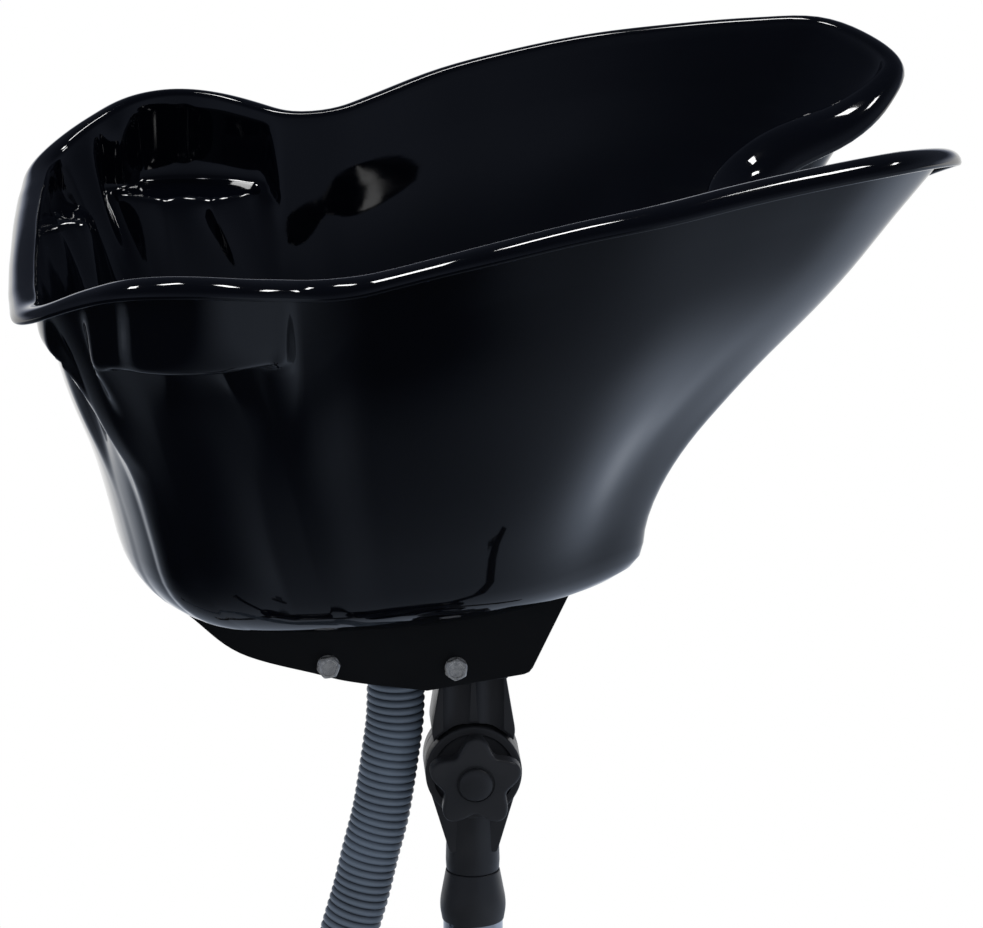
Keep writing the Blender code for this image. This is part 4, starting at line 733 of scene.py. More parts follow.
@dataclass
class DrainHose:
    """The ribbed hose in two runs, above and below the sliding post's middle, and its end cuff."""

    drain_x: float = -0.0535
    top: float = 0.6667
    radius: float = 0.0185
    valley: float = 0.0166
    wall: float = 0.0011
    pitch: float = 0.0050
    plain: float = 0.0180
    sides: int = 36
    rib_steps: int = 8
    split_height: float = 0.440
    cuff_thickness: float = 0.0025
    cuff_length: float = 0.0450
    cuff_shy: float = 0.0040
    route: tuple[tuple[float, float, float], ...] = (
        (-0.0535, 0.000, 0.6285), (-0.0544, 0.000, 0.6060), (-0.0572, 0.000, 0.5855),
        (-0.0607, 0.000, 0.5625), (-0.0642, 0.000, 0.5430), (-0.0709, 0.000, 0.5170),
        (-0.0766, 0.000, 0.4930), (-0.0824, 0.000, 0.4730), (-0.1010, 0.000, 0.4100),
        (-0.1230, 0.002, 0.3400), (-0.1460, 0.006, 0.2700), (-0.1710, 0.011, 0.2020),
        (-0.2030, 0.018, 0.1380), (-0.2450, 0.027, 0.0840), (-0.2980, 0.040, 0.0425),
        (-0.3570, 0.057, 0.0222), (-0.4160, 0.080, 0.0192), (-0.4700, 0.109, 0.0198),
        (-0.5180, 0.144, 0.0218))
    curve: Array = field(init=False)
    along: Array = field(init=False)
    total: float = field(init=False)
    ribbed: float = field(init=False)
    ribs: int = field(init=False)

    def __post_init__(self) -> None:
        """Works out the centre line, the length along it, and the ribs between its plain ends."""
        straight = [(self.drain_x, 0.0, self.top), (self.drain_x, 0.0, (self.top + self.route[0][2]) / 2.0)]
        self.curve = curve_through(straight + list(self.route), 16)
        steps = np.linalg.norm(np.diff(self.curve, axis=0), axis=1)
        self.along = np.concatenate([[0.0], np.cumsum(steps)])
        self.total = float(self.along[-1])
        self.ribbed = self.total - 2.0 * self.plain
        self.ribs = round(self.ribbed / self.pitch)

    def centre(self, places: Array) -> Array:
        """Points on the centre line at lengths along it."""
        return np.column_stack([np.interp(places, self.along, self.curve[:, k]) for k in range(3)])

    def skin(self, places: Array, radii: Array) -> Array:
        """Rings round the centre line: each point is the centre plus the radius times a turning pair
        of directions, which are +Y less its share along the line, and the cross product with the line.

        Args:
            places: each ring's length along the line.
            radii: each ring's radius.

        Returns:
            The rings' points.
        """
        reach = 0.003
        heading = self.centre(places + reach) - self.centre(places - reach)
        heading /= np.linalg.norm(heading, axis=1)[:, None]
        side = np.array([0.0, 1.0, 0.0]) - heading * heading[:, 1:2]
        side /= np.linalg.norm(side, axis=1)[:, None]
        upward = np.cross(heading, side)
        angle = (math.tau * np.arange(self.sides) / self.sides)[None, :, None]
        return self.centre(places)[:, None] + radii[:, None, None] * (
            np.cos(angle) * side[:, None] + np.sin(angle) * upward[:, None])

    def radii(self, places: Array) -> Array:
        """The skin's radius along the hose: between the plain ends it swings from valley to crest as
        the sine of half a turn for each rib, raised to a power that keeps crests full.

        Args:
            places: lengths along the line.

        Returns:
            The radii.
        """
        share = (places - self.plain) / self.ribbed * self.ribs
        swing = np.abs(np.sin(math.pi * share)) ** 0.75
        inside = (share > 0.0) & (share < self.ribs)
        return self.valley + (self.radius - self.valley) * np.where(inside, swing, 0.0)

    def run(self, name: str, first: float, last: float) -> Thing:
        """One run of the hose as a tube with a bore.

        Args:
            name: the piece's name.
            first: where the run starts along the hose.
            last: where it ends.

        Returns:
            The piece.
        """
        count = self.ribs * self.rib_steps
        fine = self.plain + self.ribbed * np.arange(count + 1) / count
        ends = [self.total - 0.5 * self.plain, self.total]
        places = np.concatenate([[0.0, 0.5 * self.plain], fine, ends])
        places = places[(places > first - 1e-9) & (places < last + 1e-9)]
        radii = self.radii(places)
        outer = self.skin(places, radii)
        bore_places = np.linspace(first, last, max(8, int((last - first) / 0.015)))
        bore = self.skin(bore_places, np.full(len(bore_places), self.valley - self.wall))
        rings = np.concatenate([outer, bore[::-1]])
        mesh = closed_mesh(rings, quads(len(rings), self.sides, True).tolist(), 1e-9)
        # crest runs from 0 in the valleys and the bore to 1 on the ribs' crests; the hose's finish paints
        # shade into the low values.
        crest = np.concatenate([(radii - self.valley) / (self.radius - self.valley), np.zeros(len(bore))])
        mark = mesh.attributes.new("crest", "FLOAT", "POINT")
        mark.data.foreach_set("value", np.repeat(crest, self.sides).astype(np.float32))
        thing = piece(name, mesh, HOSE_GREY, None, ("drain_hose",), 60.0)
        thing.modifiers.clear()
        return thing

    def make(self) -> None:
        """Adds both runs and the cuff."""
        total = self.total
        seams = self.plain + self.ribbed * np.arange(self.ribs + 1) / self.ribs
        seam = float(seams[np.argmin(np.abs(self.centre(seams)[:, 2] - self.split_height))])
        upper, lower = self.run("drain_hose_upper", 0.0, seam), self.run("drain_hose_lower", seam, total)
        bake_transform(upper)
        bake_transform(lower)
        cuff = self.cuff()
        def line(first: float, last: float, count: int) -> list[tuple[float, ...]]:
            """Points of the centre line between two lengths along it."""
            return [tuple(p) for p in self.centre(np.linspace(first, last, count)).tolist()]

    def cuff(self) -> Thing:
        """The rubber cuff on the hose's far end: a sleeve with three grip rings and a rolled lip.

        Returns:
            The piece.
        """
        bore, wide = self.valley + 0.0006, self.radius + self.cuff_thickness
        low, high = -(self.plain - self.cuff_shy), self.cuff_length - (self.plain - self.cuff_shy)
        lip = self.valley - self.wall
        slim = wide - 0.0012
        outline = [(bore, low), (slim, low + SEAT_GAP)]
        for place in (0.22, 0.36, 0.50):
            z = low + (high - low) * place
            outline += [(slim, z - 0.0022), (wide, z - 0.0012), (wide, z + 0.0012), (slim, z + 0.0022)]
        outline += [(slim, high - 0.006), (wide, high - 0.0045), (wide, high), (lip, high), (lip, SEAT_GAP),
                    (bore, SEAT_GAP)]
        mesh = soft_turned(outline, 0.0007, 48)
        heading = Vector((self.curve[-1] - self.curve[-2]).tolist()).normalized()
        placed(mesh, leaned(heading), shift(*self.curve[-1].tolist()))
        return piece("hose_end_cuff", mesh, RUBBER, "base", ("hose_cuff",))


# ---------------------------------------------------------------- bowl

@dataclass
class Zones:
    """How far each station of the bowl's crest belongs to each part of the bowl, from 0 to 1.

    behind is all that lies behind the wings' tips, shelf and ledge are the two kinds of pocket, level is
    where the wall's top step lies level, back is the rear wall, neck the recess, and tip the wings' ends.
    """

    behind: Array
    shelf: Array
    ledge: Array
    level: Array
    back: Array
    neck: Array
    tip: Array


@dataclass
class Bowl:
    """The moulded bowl: one sheet from the drain hole up the walls and over to the rolled flange."""

    rim_z: float = 0.950
    crest_reach: float = 0.2825
    crest_half_width: float = 0.247
    wing_rise: float = 0.0716
    wall: float = 0.0035
    steps: int = 5
    tip_row: float = 31.0
    neck_rows: float = 3.0
    neck_wall_rows: float = 8.0
    neck_lead: float = 1.78
    flange_reach: float = 0.0150
    flange_drop: float = 0.0085
    back_reach: float = 0.0115
    back_drop: float = 0.0088
    tip_reach: float = 0.0100
    neck_reach: float = 0.0260
    neck_drop: float = 0.0220
    crest_round: float = 0.0050
    upper_wall: float = 0.0200
    shelf_drop: float = 0.0500
    shelf_depth: float = 0.0450
    shelf_back: float = -0.2530
    shelf_front: float = -0.1130
    shelf_blend: float = 0.0370
    shelf_front_blend: float = 0.0300
    shelf_round: float = 0.0070
    ledge_depth: float = 0.0260
    ledge_inner: float = 0.1250
    ledge_outer: float = 0.2080
    ledge_blend: float = 0.0180
    pillar_x: float = -0.2270
    pillar_half: float = 0.0170
    pillar_depth: float = 0.0060
    flute_depth: float = 0.0016
    draft: float = 0.0060
    spread: float = 0.0450
    fade: float = 0.5
    calm: float = 0.40
    turn_spread: float = 0.022
    crest_spread: float = 0.014
    soft: float = 0.0060
    drain_x: float = -0.0535
    drain_z: float = 0.6855
    floor_half_length: float = 0.1037
    floor_half_width: float = 0.0897
    floor_dish: float = 0.0060
    floor_rise: float = 0.0142
    squareness: float = 2.6
    hole_radius: float = 0.0220
    seat_radius: float = 0.0370
    depths: tuple[float, ...] = (0.20, 0.42, 0.62, 0.80, 0.93, 1.00)
    side_shares: tuple[float, ...] = (0.122, 0.269, 0.433, 0.622, 0.780, 1.00)
    wing_shares: tuple[float, ...] = (0.276, 0.514, 0.703, 0.784, 0.816, 1.00)
    neck_shares: tuple[float, ...] = (0.170, 0.287, 0.466, 0.622, 0.703, 1.00)
    back_shares: tuple[float, ...] = (0.143, 0.263, 0.355, 0.446, 0.672, 1.00)
    web_top: float = 0.6540
    bolts: tuple[tuple[float, float], ...] = ((-0.0975, 0.0090), (-0.0185, 0.0060))
    cheek_face: float = 0.0605
    boss_depth: float = 0.0160
    boss_half: float = 0.0085
    crest_shares: tuple[tuple[float, float, float, float], ...] = (
        (-0.974, 0.000, -0.327, 1.000), (-0.974, 0.221, -0.334, 0.922), (-0.971, 0.401, -0.340, 0.860),
        (-0.969, 0.506, -0.341, 0.827), (-0.964, 0.591, -0.337, 0.800), (-0.961, 0.681, -0.332, 0.773),
        (-0.957, 0.746, -0.319, 0.755), (-0.947, 0.795, -0.290, 0.742), (-0.931, 0.832, -0.244, 0.732),
        (-0.908, 0.864, -0.192, 0.722), (-0.884, 0.893, -0.125, 0.711), (-0.856, 0.916, -0.055, 0.700),
        (-0.823, 0.940, -0.007, 0.687), (-0.792, 0.975, 0.062, 0.672), (-0.737, 1.010, 0.120, 0.650),
        (-0.667, 1.032, 0.145, 0.628), (-0.602, 1.030, 0.133, 0.608), (-0.539, 1.010, 0.099, 0.589),
        (-0.498, 0.985, 0.066, 0.577), (-0.464, 0.959, 0.044, 0.566), (-0.433, 0.934, 0.021, 0.556),
        (-0.405, 0.919, -0.008, 0.544), (-0.296, 0.914, 0.012, 0.502), (-0.208, 0.940, 0.107, 0.467),
        (-0.036, 0.995, 0.322, 0.406), (0.141, 1.002, 0.493, 0.350), (0.321, 0.993, 0.630, 0.294),
        (0.497, 0.935, 0.745, 0.244), (0.672, 0.873, 0.835, 0.200), (0.817, 0.808, 0.880, 0.161),
        (0.914, 0.672, 0.807, 0.128), (0.957, 0.539, 0.690, 0.100), (0.907, 0.439, 0.554, 0.083),
        (0.814, 0.361, 0.406, 0.069), (0.681, 0.317, 0.247, 0.056), (0.587, 0.241, 0.074, 0.038),
        (0.530, 0.120, -0.067, 0.018), (0.523, 0.000, -0.139, 0.000))
    under: BVHTree = field(init=False)

    def plan(self, stations: Array) -> Array:
        """The crest's plan: each station's first two shares times the bowl's reach and half width."""
        return stations[:, :2] * (self.crest_reach, self.crest_half_width)

    def stations(self) -> Array:
        """The crest all round, one half worked out and mirrored, and evened behind the shelves.

        Returns:
            Place, height, floor angle and row of each station.
        """
        rows = np.array(self.crest_shares)
        flip = np.array([1.0, -1.0, 1.0, -1.0])
        lead, tail = rows[1:4][::-1] * flip, rows[-4:-1][::-1] * flip
        lead[:, 3] += 2.0
        curve = curve_through(np.vstack([lead, rows, tail]), self.steps)
        half = curve[3 * self.steps:len(curve) - 3 * self.steps]
        half = np.column_stack([half, np.arange(len(half)) / self.steps])
        other = half[1:-1][::-1] * np.array([1.0, -1.0, 1.0, -1.0, 1.0])
        ring = np.vstack([half, other])
        plan = self.plan(ring)
        share = ease((-0.03 - plan[:, :1]) / 0.06)
        ring[:, :3] += (self.evened(ring[:, :3], plan, self.crest_spread) - ring[:, :3]) * share
        return ring

    def evened(self, values: Array, outline: Array, spread: Optional[float] = None) -> Array:
        """Averages values along the closed outline with bell-shaped weights.

        Args:
            values: a row for each point of the outline.
            outline: the points, whose steps are the lengths between the rows.
            spread: the bell's half width, the bowl's own if not given.

        Returns:
            The averaged rows.
        """
        steps = np.linalg.norm(np.roll(outline, -1, axis=0) - outline, axis=1)
        places = np.cumsum(steps) - steps
        gaps = np.abs(places[:, None] - places[None, :])
        gaps = np.minimum(gaps, steps.sum() - gaps)
        weights = np.exp(-(gaps / (spread or self.spread)) ** 2) * (steps + np.roll(steps, 1))[None, :]
        return (weights / weights.sum(axis=1, keepdims=True)) @ values

    def outward(self, crest: Array) -> Array:
        """The crest's plan normals, evened along it so that nothing offset from it folds."""
        normals = self.evened(plan_normals(crest), crest, self.turn_spread)
        return normals / np.linalg.norm(normals, axis=1)[:, None]

    def zones(self, crest: Array, row: Array) -> Zones:
        """Which part of the bowl each station belongs to.

        Args:
            crest: the crest's plan.
            row: each station's row.

        Returns:
            The zones.
        """
        x, y = crest[:, 0], np.abs(crest[:, 1])
        behind = ease(self.tip_row - row)
        shelf = ease((x - self.shelf_back) / self.shelf_blend)
        shelf = shelf * ease((self.shelf_front - x) / self.shelf_front_blend)
        inner = (y - self.ledge_inner) / self.ledge_blend
        ledge = ease(inner) * ease((self.ledge_outer - y) / self.ledge_blend)
        ledge = ledge * ease((self.shelf_back - x) / self.shelf_blend + 0.5)
        level = ease((self.shelf_front - x) / self.shelf_front_blend + 1.0) * ease(inner + 1.0) * behind
        back = ease((self.shelf_back - x) / self.shelf_blend)
        neck = ease((row - self.tip_row) / self.neck_rows)
        tip = ease(1.0 - np.abs(row - self.tip_row) / self.neck_rows)
        return Zones(behind, shelf, ledge, level, back, neck, tip)

    def flange(self, zones: Zones) -> tuple[Array, Array]:
        """The flange's shape, mixed from the sides', back's, wing tips' and neck's.

        Args:
            zones: which part of the bowl each station belongs to.

        Returns:
            How far it reaches out from the crest, and how far its lip drops.
        """
        reach = self.flange_reach + (self.back_reach - self.flange_reach) * zones.back
        reach = reach + (self.tip_reach - self.flange_reach) * zones.tip * (1.0 - zones.neck)
        reach = reach + (self.neck_reach - self.flange_reach) * zones.neck
        drop = self.flange_drop + (self.back_drop - self.flange_drop) * zones.back
        return reach, drop + (self.neck_drop - self.flange_drop) * zones.neck

    def floor_edge(self, cosine: Array, sine: Array) -> Array:
        """The floor's outline: a superellipse round the drain that rises toward the front.

        Args:
            cosine: the cosine of each point's angle.
            sine: the sine of each point's angle.

        Returns:
            The outline's points.
        """
        power = 2.0 / self.squareness
        along = self.floor_half_length * np.sign(cosine) * np.abs(cosine) ** power
        across = self.floor_half_width * np.sign(sine) * np.abs(sine) ** power
        x = self.drain_x + along
        front_share = (x - self.drain_x + self.floor_half_length) / (2.0 * self.floor_half_length)
        return np.column_stack([x, across, self.drain_z + self.floor_dish + self.floor_rise * front_share])

    def wall_shares(self, crest: Array, row: Array) -> Array:
        """How far the wall has come from rim to floor at each depth, mixed from the parts' own shares.

        Args:
            crest: the crest's plan.
            row: each station's row.

        Returns:
            A row of shares for each station.
        """
        wing = ease((crest[:, 0] - 0.1 * self.crest_reach) / (0.6 * self.crest_reach))
        neck = ease((row - self.tip_row + self.neck_lead) / self.neck_wall_rows)
        rear = ease((-0.12 - crest[:, 0]) / 0.12)
        shares = np.array(self.side_shares)[None]
        for others, part in ((self.wing_shares, wing), (self.neck_shares, neck), (self.back_shares, rear)):
            shares = shares * (1.0 - part[:, None]) + np.array(others)[None] * part[:, None]
        return self.evened(shares, crest)

    def controls(self) -> tuple[Array, list[int]]:
        """The rings that steer the inner surface, from the flange's lip in and down to the drain.

        Returns:
            The rings, and how many samples each of them gets.
        """
        stations = self.stations()
        crest, row = self.plan(stations), stations[:, 4]
        crest_z, outward = self.rim_z + stations[:, 2] * self.wing_rise, self.outward(crest)
        turn = stations[:, 3] * math.pi
        turn = self.evened(np.column_stack([np.cos(turn), np.sin(turn)]), crest)
        cosine, sine = (turn / np.linalg.norm(turn, axis=1)[:, None]).T
        x, y, zones = crest[:, 0], np.abs(crest[:, 1]), self.zones(crest, row)
        inset = (zones.shelf * self.shelf_depth + zones.ledge * self.ledge_depth) * zones.behind
        pocket = np.clip(inset / self.ledge_depth, 0.0, 1.0)
        flat_drop = crest_z - (self.rim_z - self.shelf_drop)
        shoulder = flat_drop * zones.level + (self.upper_wall + self.shelf_round) * (1.0 - zones.level)
        reach, drop = self.flange(zones)
        pillar = bump(x, self.pillar_x, self.pillar_half) * (y > 0.15) * zones.behind * self.pillar_depth
        flutes = np.sin((y - self.ledge_inner) / (self.ledge_outer - self.ledge_inner) * 3.0 * math.tau)
        flutes = self.flute_depth * (zones.ledge * zones.behind * flutes)
        floor_edge, inward = self.floor_edge(cosine, sine), self.wall_shares(crest, row)
        plan = floor_edge[:, :2]

        def ring(out: Array, down: Array) -> Array:
            """A ring that lies out from the crest along its normals, and down from it."""
            plan = crest + outward * np.asarray(out).reshape(-1, 1)
            return np.column_stack([plan, crest_z - down])

        zero, rings, samples = np.zeros(len(crest)), [], []
        for turn in np.radians(np.arange(90.0, -0.1, -11.25)):
            rings.append(ring(math.sin(turn) * reach, (1.0 - math.cos(turn)) * drop))
            samples.append(1)
        for turn in np.radians((22.5, 45.0, 67.5, 90.0)):
            rings.append(ring(zero - self.crest_round * math.sin(turn),
                              zero + self.crest_round * (1.0 - math.cos(turn))))
            samples.append(1)
        brow = self.crest_round + 0.25 * (shoulder - self.crest_round)
        rings.append(ring(-self.crest_round - 0.25 * (self.draft - self.crest_round) - pillar, brow))
        rings.append(ring(-self.draft - 0.1 * self.shelf_round * pocket - pillar,
                          shoulder - self.shelf_round * 0.8))
        rings.append(ring(-self.draft - self.shelf_round * pocket, shoulder))
        near_edge = np.maximum(inset - self.shelf_round, self.shelf_round * 1.1 * pocket)
        far_edge = np.maximum(inset, self.shelf_round * 1.6 * pocket)
        fall = np.array([0.0, 0.0, 1.0]) * ((1.0 - pocket) * self.shelf_round)[:, None]
        rings.append(ring(-self.draft - near_edge + flutes, shoulder) - fall)
        start = ring(-self.draft - far_edge + flutes, shoulder + self.shelf_round) - fall
        rings.append(start)
        samples += [3, 4, 5, 5, 5]
        even = self.evened(crest - outward * (self.draft + self.evened(inset, crest))[:, None], crest)
        lower = []
        for k, depth in enumerate(self.depths):
            top = start[:, :2] + (even - start[:, :2]) * ease(depth / self.fade)
            flat = top + (plan - top) * inward[:, k:k + 1]
            flat = flat + (self.evened(flat, crest) - flat) * ease(depth / self.calm)
            lower.append(np.column_stack([flat, start[:, 2] + (floor_edge[:, 2] - start[:, 2]) * depth]))
            samples.append(6 if k < 3 else 4)
        first, bare = len(rings) - 5, 1.0 - ease(1.6 * pocket)[:, None]
        arc = rings[first - 1]
        for k in range(first, len(rings)):
            share = ((arc[:, 2] - rings[k][:, 2]) / (arc[:, 2] - lower[0][:, 2]))[:, None]
            straight = arc[:, :2] + (lower[0][:, :2] - arc[:, :2]) * share
            eased = rings[k][:, :2] + (straight - rings[k][:, :2]) * bare
            rings[k] = np.column_stack([eased, rings[k][:, 2]])
        rings += lower

        def drain_ring(radius: float) -> Array:
            """A level ring round the drain at the floor's height."""
            return np.column_stack([self.drain_x + radius * cosine, radius * sine, zero + self.drain_z])

        seat = drain_ring(self.seat_radius)
        rings += [(seat + floor_edge) / 2.0, seat, drain_ring(self.hole_radius + 0.006),
                  drain_ring(self.hole_radius)]
        samples += [4, 3, 2, 1]
        return np.array(rings), samples

    @staticmethod
    def softened(controls: Array, samples: Sequence[int]) -> Array:
        """A quadratic spline over the rings: each ring's piece runs from the middle of the step before
        it to the middle of the step after it and is drawn toward the ring between.

        Args:
            controls: the rings.
            samples: how many rows each ring's piece gets.

        Returns:
            The surface's rows.
        """
        spans = [controls[:1]]
        for k in range(1, len(controls) - 1):
            t = (np.arange(samples[k]) / samples[k])[:, None, None]
            start, end = (controls[k - 1] + controls[k]) / 2.0, (controls[k] + controls[k + 1]) / 2.0
            spans.append((1.0 - t) ** 2 * start + 2.0 * t * (1.0 - t) * controls[k] + t ** 2 * end)
        return np.concatenate(spans + [((controls[-2] + controls[-1]) / 2.0)[None], controls[-1:]])

    def backing(self, front: Array) -> Array:
        """How much farther out the moulding's back lies where its front folds in below the shelves: the
        front's plan averaged round the ring less the front itself, along the crest's normals, held
        above zero by a soft maximum, from below the shelf down to the floor.

        Args:
            front: the inner surface's rows.

        Returns:
            The moves for the back's points.
        """
        crest = self.plan(self.stations())
        outward = self.outward(crest)
        inset = np.sum((crest[None] - front[:, :, :2]) * outward[None], axis=2)
        even = self.evened(inset.T, crest).T
        gap = (inset - even) / self.soft
        bent = np.where(gap > 20.0, gap, np.log1p(np.exp(np.minimum(gap, 20.0))))
        more = self.soft * bent - self.soft * math.log(2.0)
        below = ease((self.rim_z - self.shelf_drop - self.shelf_round - front[:, :, 2]) / 0.03)
        above = ease((front[:, :, 2] - self.drain_z - 0.02) / 0.05) * ease((-0.06 - crest[:, 0]) / 0.05)[None]
        return np.concatenate([outward[None] * (np.maximum(more, 0.0) * below * above)[:, :, None],
                               np.zeros(front.shape[:2] + (1,))], axis=2)

    def sheet(self) -> tuple[Array, list[list[int]]]:
        """The closed sheet: the inner surface, the same offset along its normals, and a rounded lip.

        Returns:
            The sheet's rows of points, and its faces.
        """
        controls, samples = self.controls()
        wall = slice(len(controls) - 10, len(controls) - 4)
        pulled = controls.copy()
        for _ in range(2):
            miss = controls[1:-1] - (pulled[:-2] + 6.0 * pulled[1:-1] + pulled[2:]) / 8.0
            step = np.zeros_like(controls)
            step[1:-1] = miss
            pulled[wall] += step[wall]
        front = self.softened(pulled, samples)
        around = np.roll(front, -1, axis=1) - np.roll(front, 1, axis=1)
        normals = np.cross(around, np.gradient(front, axis=0))
        normals /= np.maximum(np.linalg.norm(normals, axis=2), 1e-12)[:, :, None]
        for _ in range(2):
            normals = 2.0 * normals + np.roll(normals, 1, axis=1) + np.roll(normals, -1, axis=1)
            normals /= np.linalg.norm(normals, axis=2)[:, :, None]
        normals[-6:] = (0.0, 0.0, -1.0)
        rear = front + normals * self.wall + self.backing(front)
        middle, across = (front[0] + rear[0]) / 2.0, (front[0] - rear[0]) / 2.0
        outward = front[0] - front[1]
        outward *= (self.wall / 2.0 / np.linalg.norm(outward, axis=1))[:, None]
        turn = np.radians((135.0, 90.0, 45.0))[:, None, None]
        lip = middle + np.cos(turn) * across + np.sin(turn) * outward
        loop = np.concatenate([front, rear[::-1], lip])
        return loop, quads(len(loop), loop.shape[1], True).tolist()

    def underside(self, x: float, y: float) -> float:
        """Height of the bowl's underside over a place."""
        return self.under.ray_cast(Vector((x, y, 0.3)), Vector((0.0, 0.0, 1.0)))[0].z

    def boss(self, x: float, side: float, rise: float) -> Mesh:
        """A bolt boss under the floor: a rounded block up to the sheet, bored from its outer face.

        Args:
            x: the bolt's place along the bowl.
            side: -1 for the near side, 1 for the far side.
            rise: the bolt's height over the cradle's web.

        Returns:
            The boss.
        """
        outer = self.cheek_face - SEAT_GAP
        inner, half = outer - self.boss_depth, self.boss_half
        spots = [(x + dx, side * y) for dx in (-half, 0.0, half) for y in (inner, outer)]
        top = min(self.underside(*spot) for spot in spots) + 0.0012
        low, high = sorted((side * inner, side * outer))
        centre = self.web_top + rise
        body = block((x - half, low, centre - 0.0055), (x + half, high, top), 0.0015, 0.0006)
        bore = laid(cylinder(BOLT_HOLE, -0.0135, OVERRUN, 32), spin(0.0 if side < 0.0 else math.pi),
                    shift(x, side * outer, centre))
        return carved(body, [bore])

    def make(self) -> None:
        """Adds the moulding and its bosses."""
        loop, faces = self.sheet()
        shell = closed_mesh(loop, faces, 1e-7)
        self.under = BVHTree.FromPolygons([tuple(p) for p in loop.reshape(-1, 3).tolist()], faces)
        thing = piece("bowl_moulding", shell, GLOSS_BLACK, "bowl", ("basin_shell",), 55.0)
        thing.modifiers.clear()
        bosses = [self.boss(x, side, rise) for x, rise in self.bolts for side in (-1.0, 1.0)]
        piece("bowl_bolt_bosses", gathered(*bosses), GLOSS_BLACK, "bowl", ("basin_shell",))


# ---------------------------------------------------------------- cradle and bolts

@dataclass
class Cradle:
    """The folded steel channel under the bowl: a web and two cheeks up to the bowl's underside."""

    bowl: Bowl
    face: float = 0.0605
    thick: float = 0.0025
    web_top: float = 0.6540
    web: tuple[float, float] = (-0.0800, 0.0090)
    hole: tuple[float, float] = (-0.0535, 0.0235)
    back: float = -0.1835
    front: float = 0.0520
    toe: tuple[float, float] = (0.0275, 0.6550)
    lower: Profile = ((-0.1521, 0.6720), (-0.1041, 0.6572), (-0.0810, 0.6514), (-0.0365, 0.6450))
    bolts: Profile = ((-0.0975, 0.6630), (-0.0185, 0.6600))
    screw_x: float = -0.0055
    screw_y: float = 0.0440

    def cheek(self, side: float) -> Mesh:
        """One cheek as a plate on its side: the lower edge falls in a curve from the back to the
        lowest point, then runs straight to the toe; the upper edge follows the bowl's underside.

        Args:
            side: -1 for the near cheek, 1 for the far one.

        Returns:
            The cheek.
        """
        x = np.linspace(self.back, self.front, 60)
        y = side * (self.face + self.thick / 2.0)
        under = self.bowl.underside
        top = np.array([min(under(v, y - 0.0013), under(v, y + 0.0013)) for v in x]) - SEAT_GAP
        lower = curve_through([(self.back, top[0] - self.thick)] + list(self.lower), 8)
        outline = np.vstack([lower, [self.toe], np.column_stack([x, top])[::-1]])
        radius = np.full(len(outline), 0.0004)
        radius[len(lower)] = 0.004
        low, high = sorted((-side * self.face, -side * (self.face + self.thick)))
        body = laid(plate(rounded(outline, radius, 3), low, high, 0.0007))
        holes = [laid(cylinder(BOLT_HOLE, -0.01, 0.01, 32), shift(bx, side * self.face, bz))
                 for bx, bz in self.bolts]
        return carved(body, holes)

    def make(self) -> None:
        """Adds the channel as one piece."""
        start, end = self.web
        outer, top = self.face + self.thick - 0.0006, self.web_top
        web = block((start, -outer, top - self.thick), (end, outer, top), 0.004, 0.0006)
        web = carved(web, [placed(cylinder(self.hole[1], -0.01, 0.01, 96), shift(self.hole[0], 0.0, top))])
        web = carved(web, [placed(cylinder(0.0029, -0.02, 0.02, 32), shift(self.screw_x, y, top))
                           for y in (-self.screw_y, self.screw_y)])
        whole = carved(self.cheek(-1.0), [self.cheek(1.0), web], "UNION")
        piece("cradle_channel", whole, SATIN_BLACK, "bowl", ("cradle",), 38.0)


@dataclass
class HexBolt:
    """A flanged hexagon bolt: chamfered head with a dished top, a flange and a round shank."""

    flats: float = 0.0130
    head: float = 0.0053
    flange: float = 0.0071
    flange_rise: float = 0.0012
    shank: float = 0.0040
    length: float = 0.0160

    def mesh(self) -> Mesh:
        """The bolt along Z, its seat at zero and the head above.

        Returns:
            The bolt.
        """
        half, head, rise, shank = self.flats / 2.0, self.head, self.flange_rise, self.shank
        angle = np.arange(6) * math.pi / 3.0
        corners = self.flats / math.sqrt(3.0) * np.column_stack([np.cos(angle), np.sin(angle)])
        prism = plate(rounded(corners, 0.0007, 4), rise * 0.4, head, 0.0002)
        cone = turned([(0.0, -OVERRUN), (0.012, -OVERRUN), (0.012, head - 0.0045), (half - 0.0004, head),
                       (0.0052, head), (0.0046, head - 0.0006), (0.0, head - 0.0008)], 60)
        foot = soft_turned([(0.0, 0.0), (self.flange, 0.0), (self.flange, rise * 0.6), (half + 0.0002, rise),
                            (half - 0.0012, rise + 0.0005), (0.0, rise + 0.0005)], 0.0004, 60)
        rod = soft_turned([(0.0, -self.length), (shank - 0.0006, -self.length),
                           (shank, -self.length + 0.0008), (shank, 0.0002), (0.0, 0.0002)], 0.0002, 32)
        return carved(carved(prism, [cone], "INTERSECT"), [foot, rod], "UNION")

    def make(self, cradle: Cradle) -> None:
        """Adds the four bolts on the cradle's cheeks, each turned a little differently.

        Args:
            cradle: the channel that they hold.
        """
        seat = cradle.face + cradle.thick + SEAT_GAP
        names = (("near_back", 0, -1.0, 0.16), ("near_front", 1, -1.0, 0.42), ("far_back", 0, 1.0, 0.30),
                 ("far_front", 1, 1.0, 0.05))
        for name, which, side, twist in names:
            x, z = cradle.bolts[which]
            mesh = placed(self.mesh(), spin(twist), facing(side), shift(x, side * seat, z))
            piece(f"cradle_bolt_{name}_made", mesh, ZINC, "bowl", (f"cradle_bolt_{name}",), 30.0)


# ---------------------------------------------------------------- drain

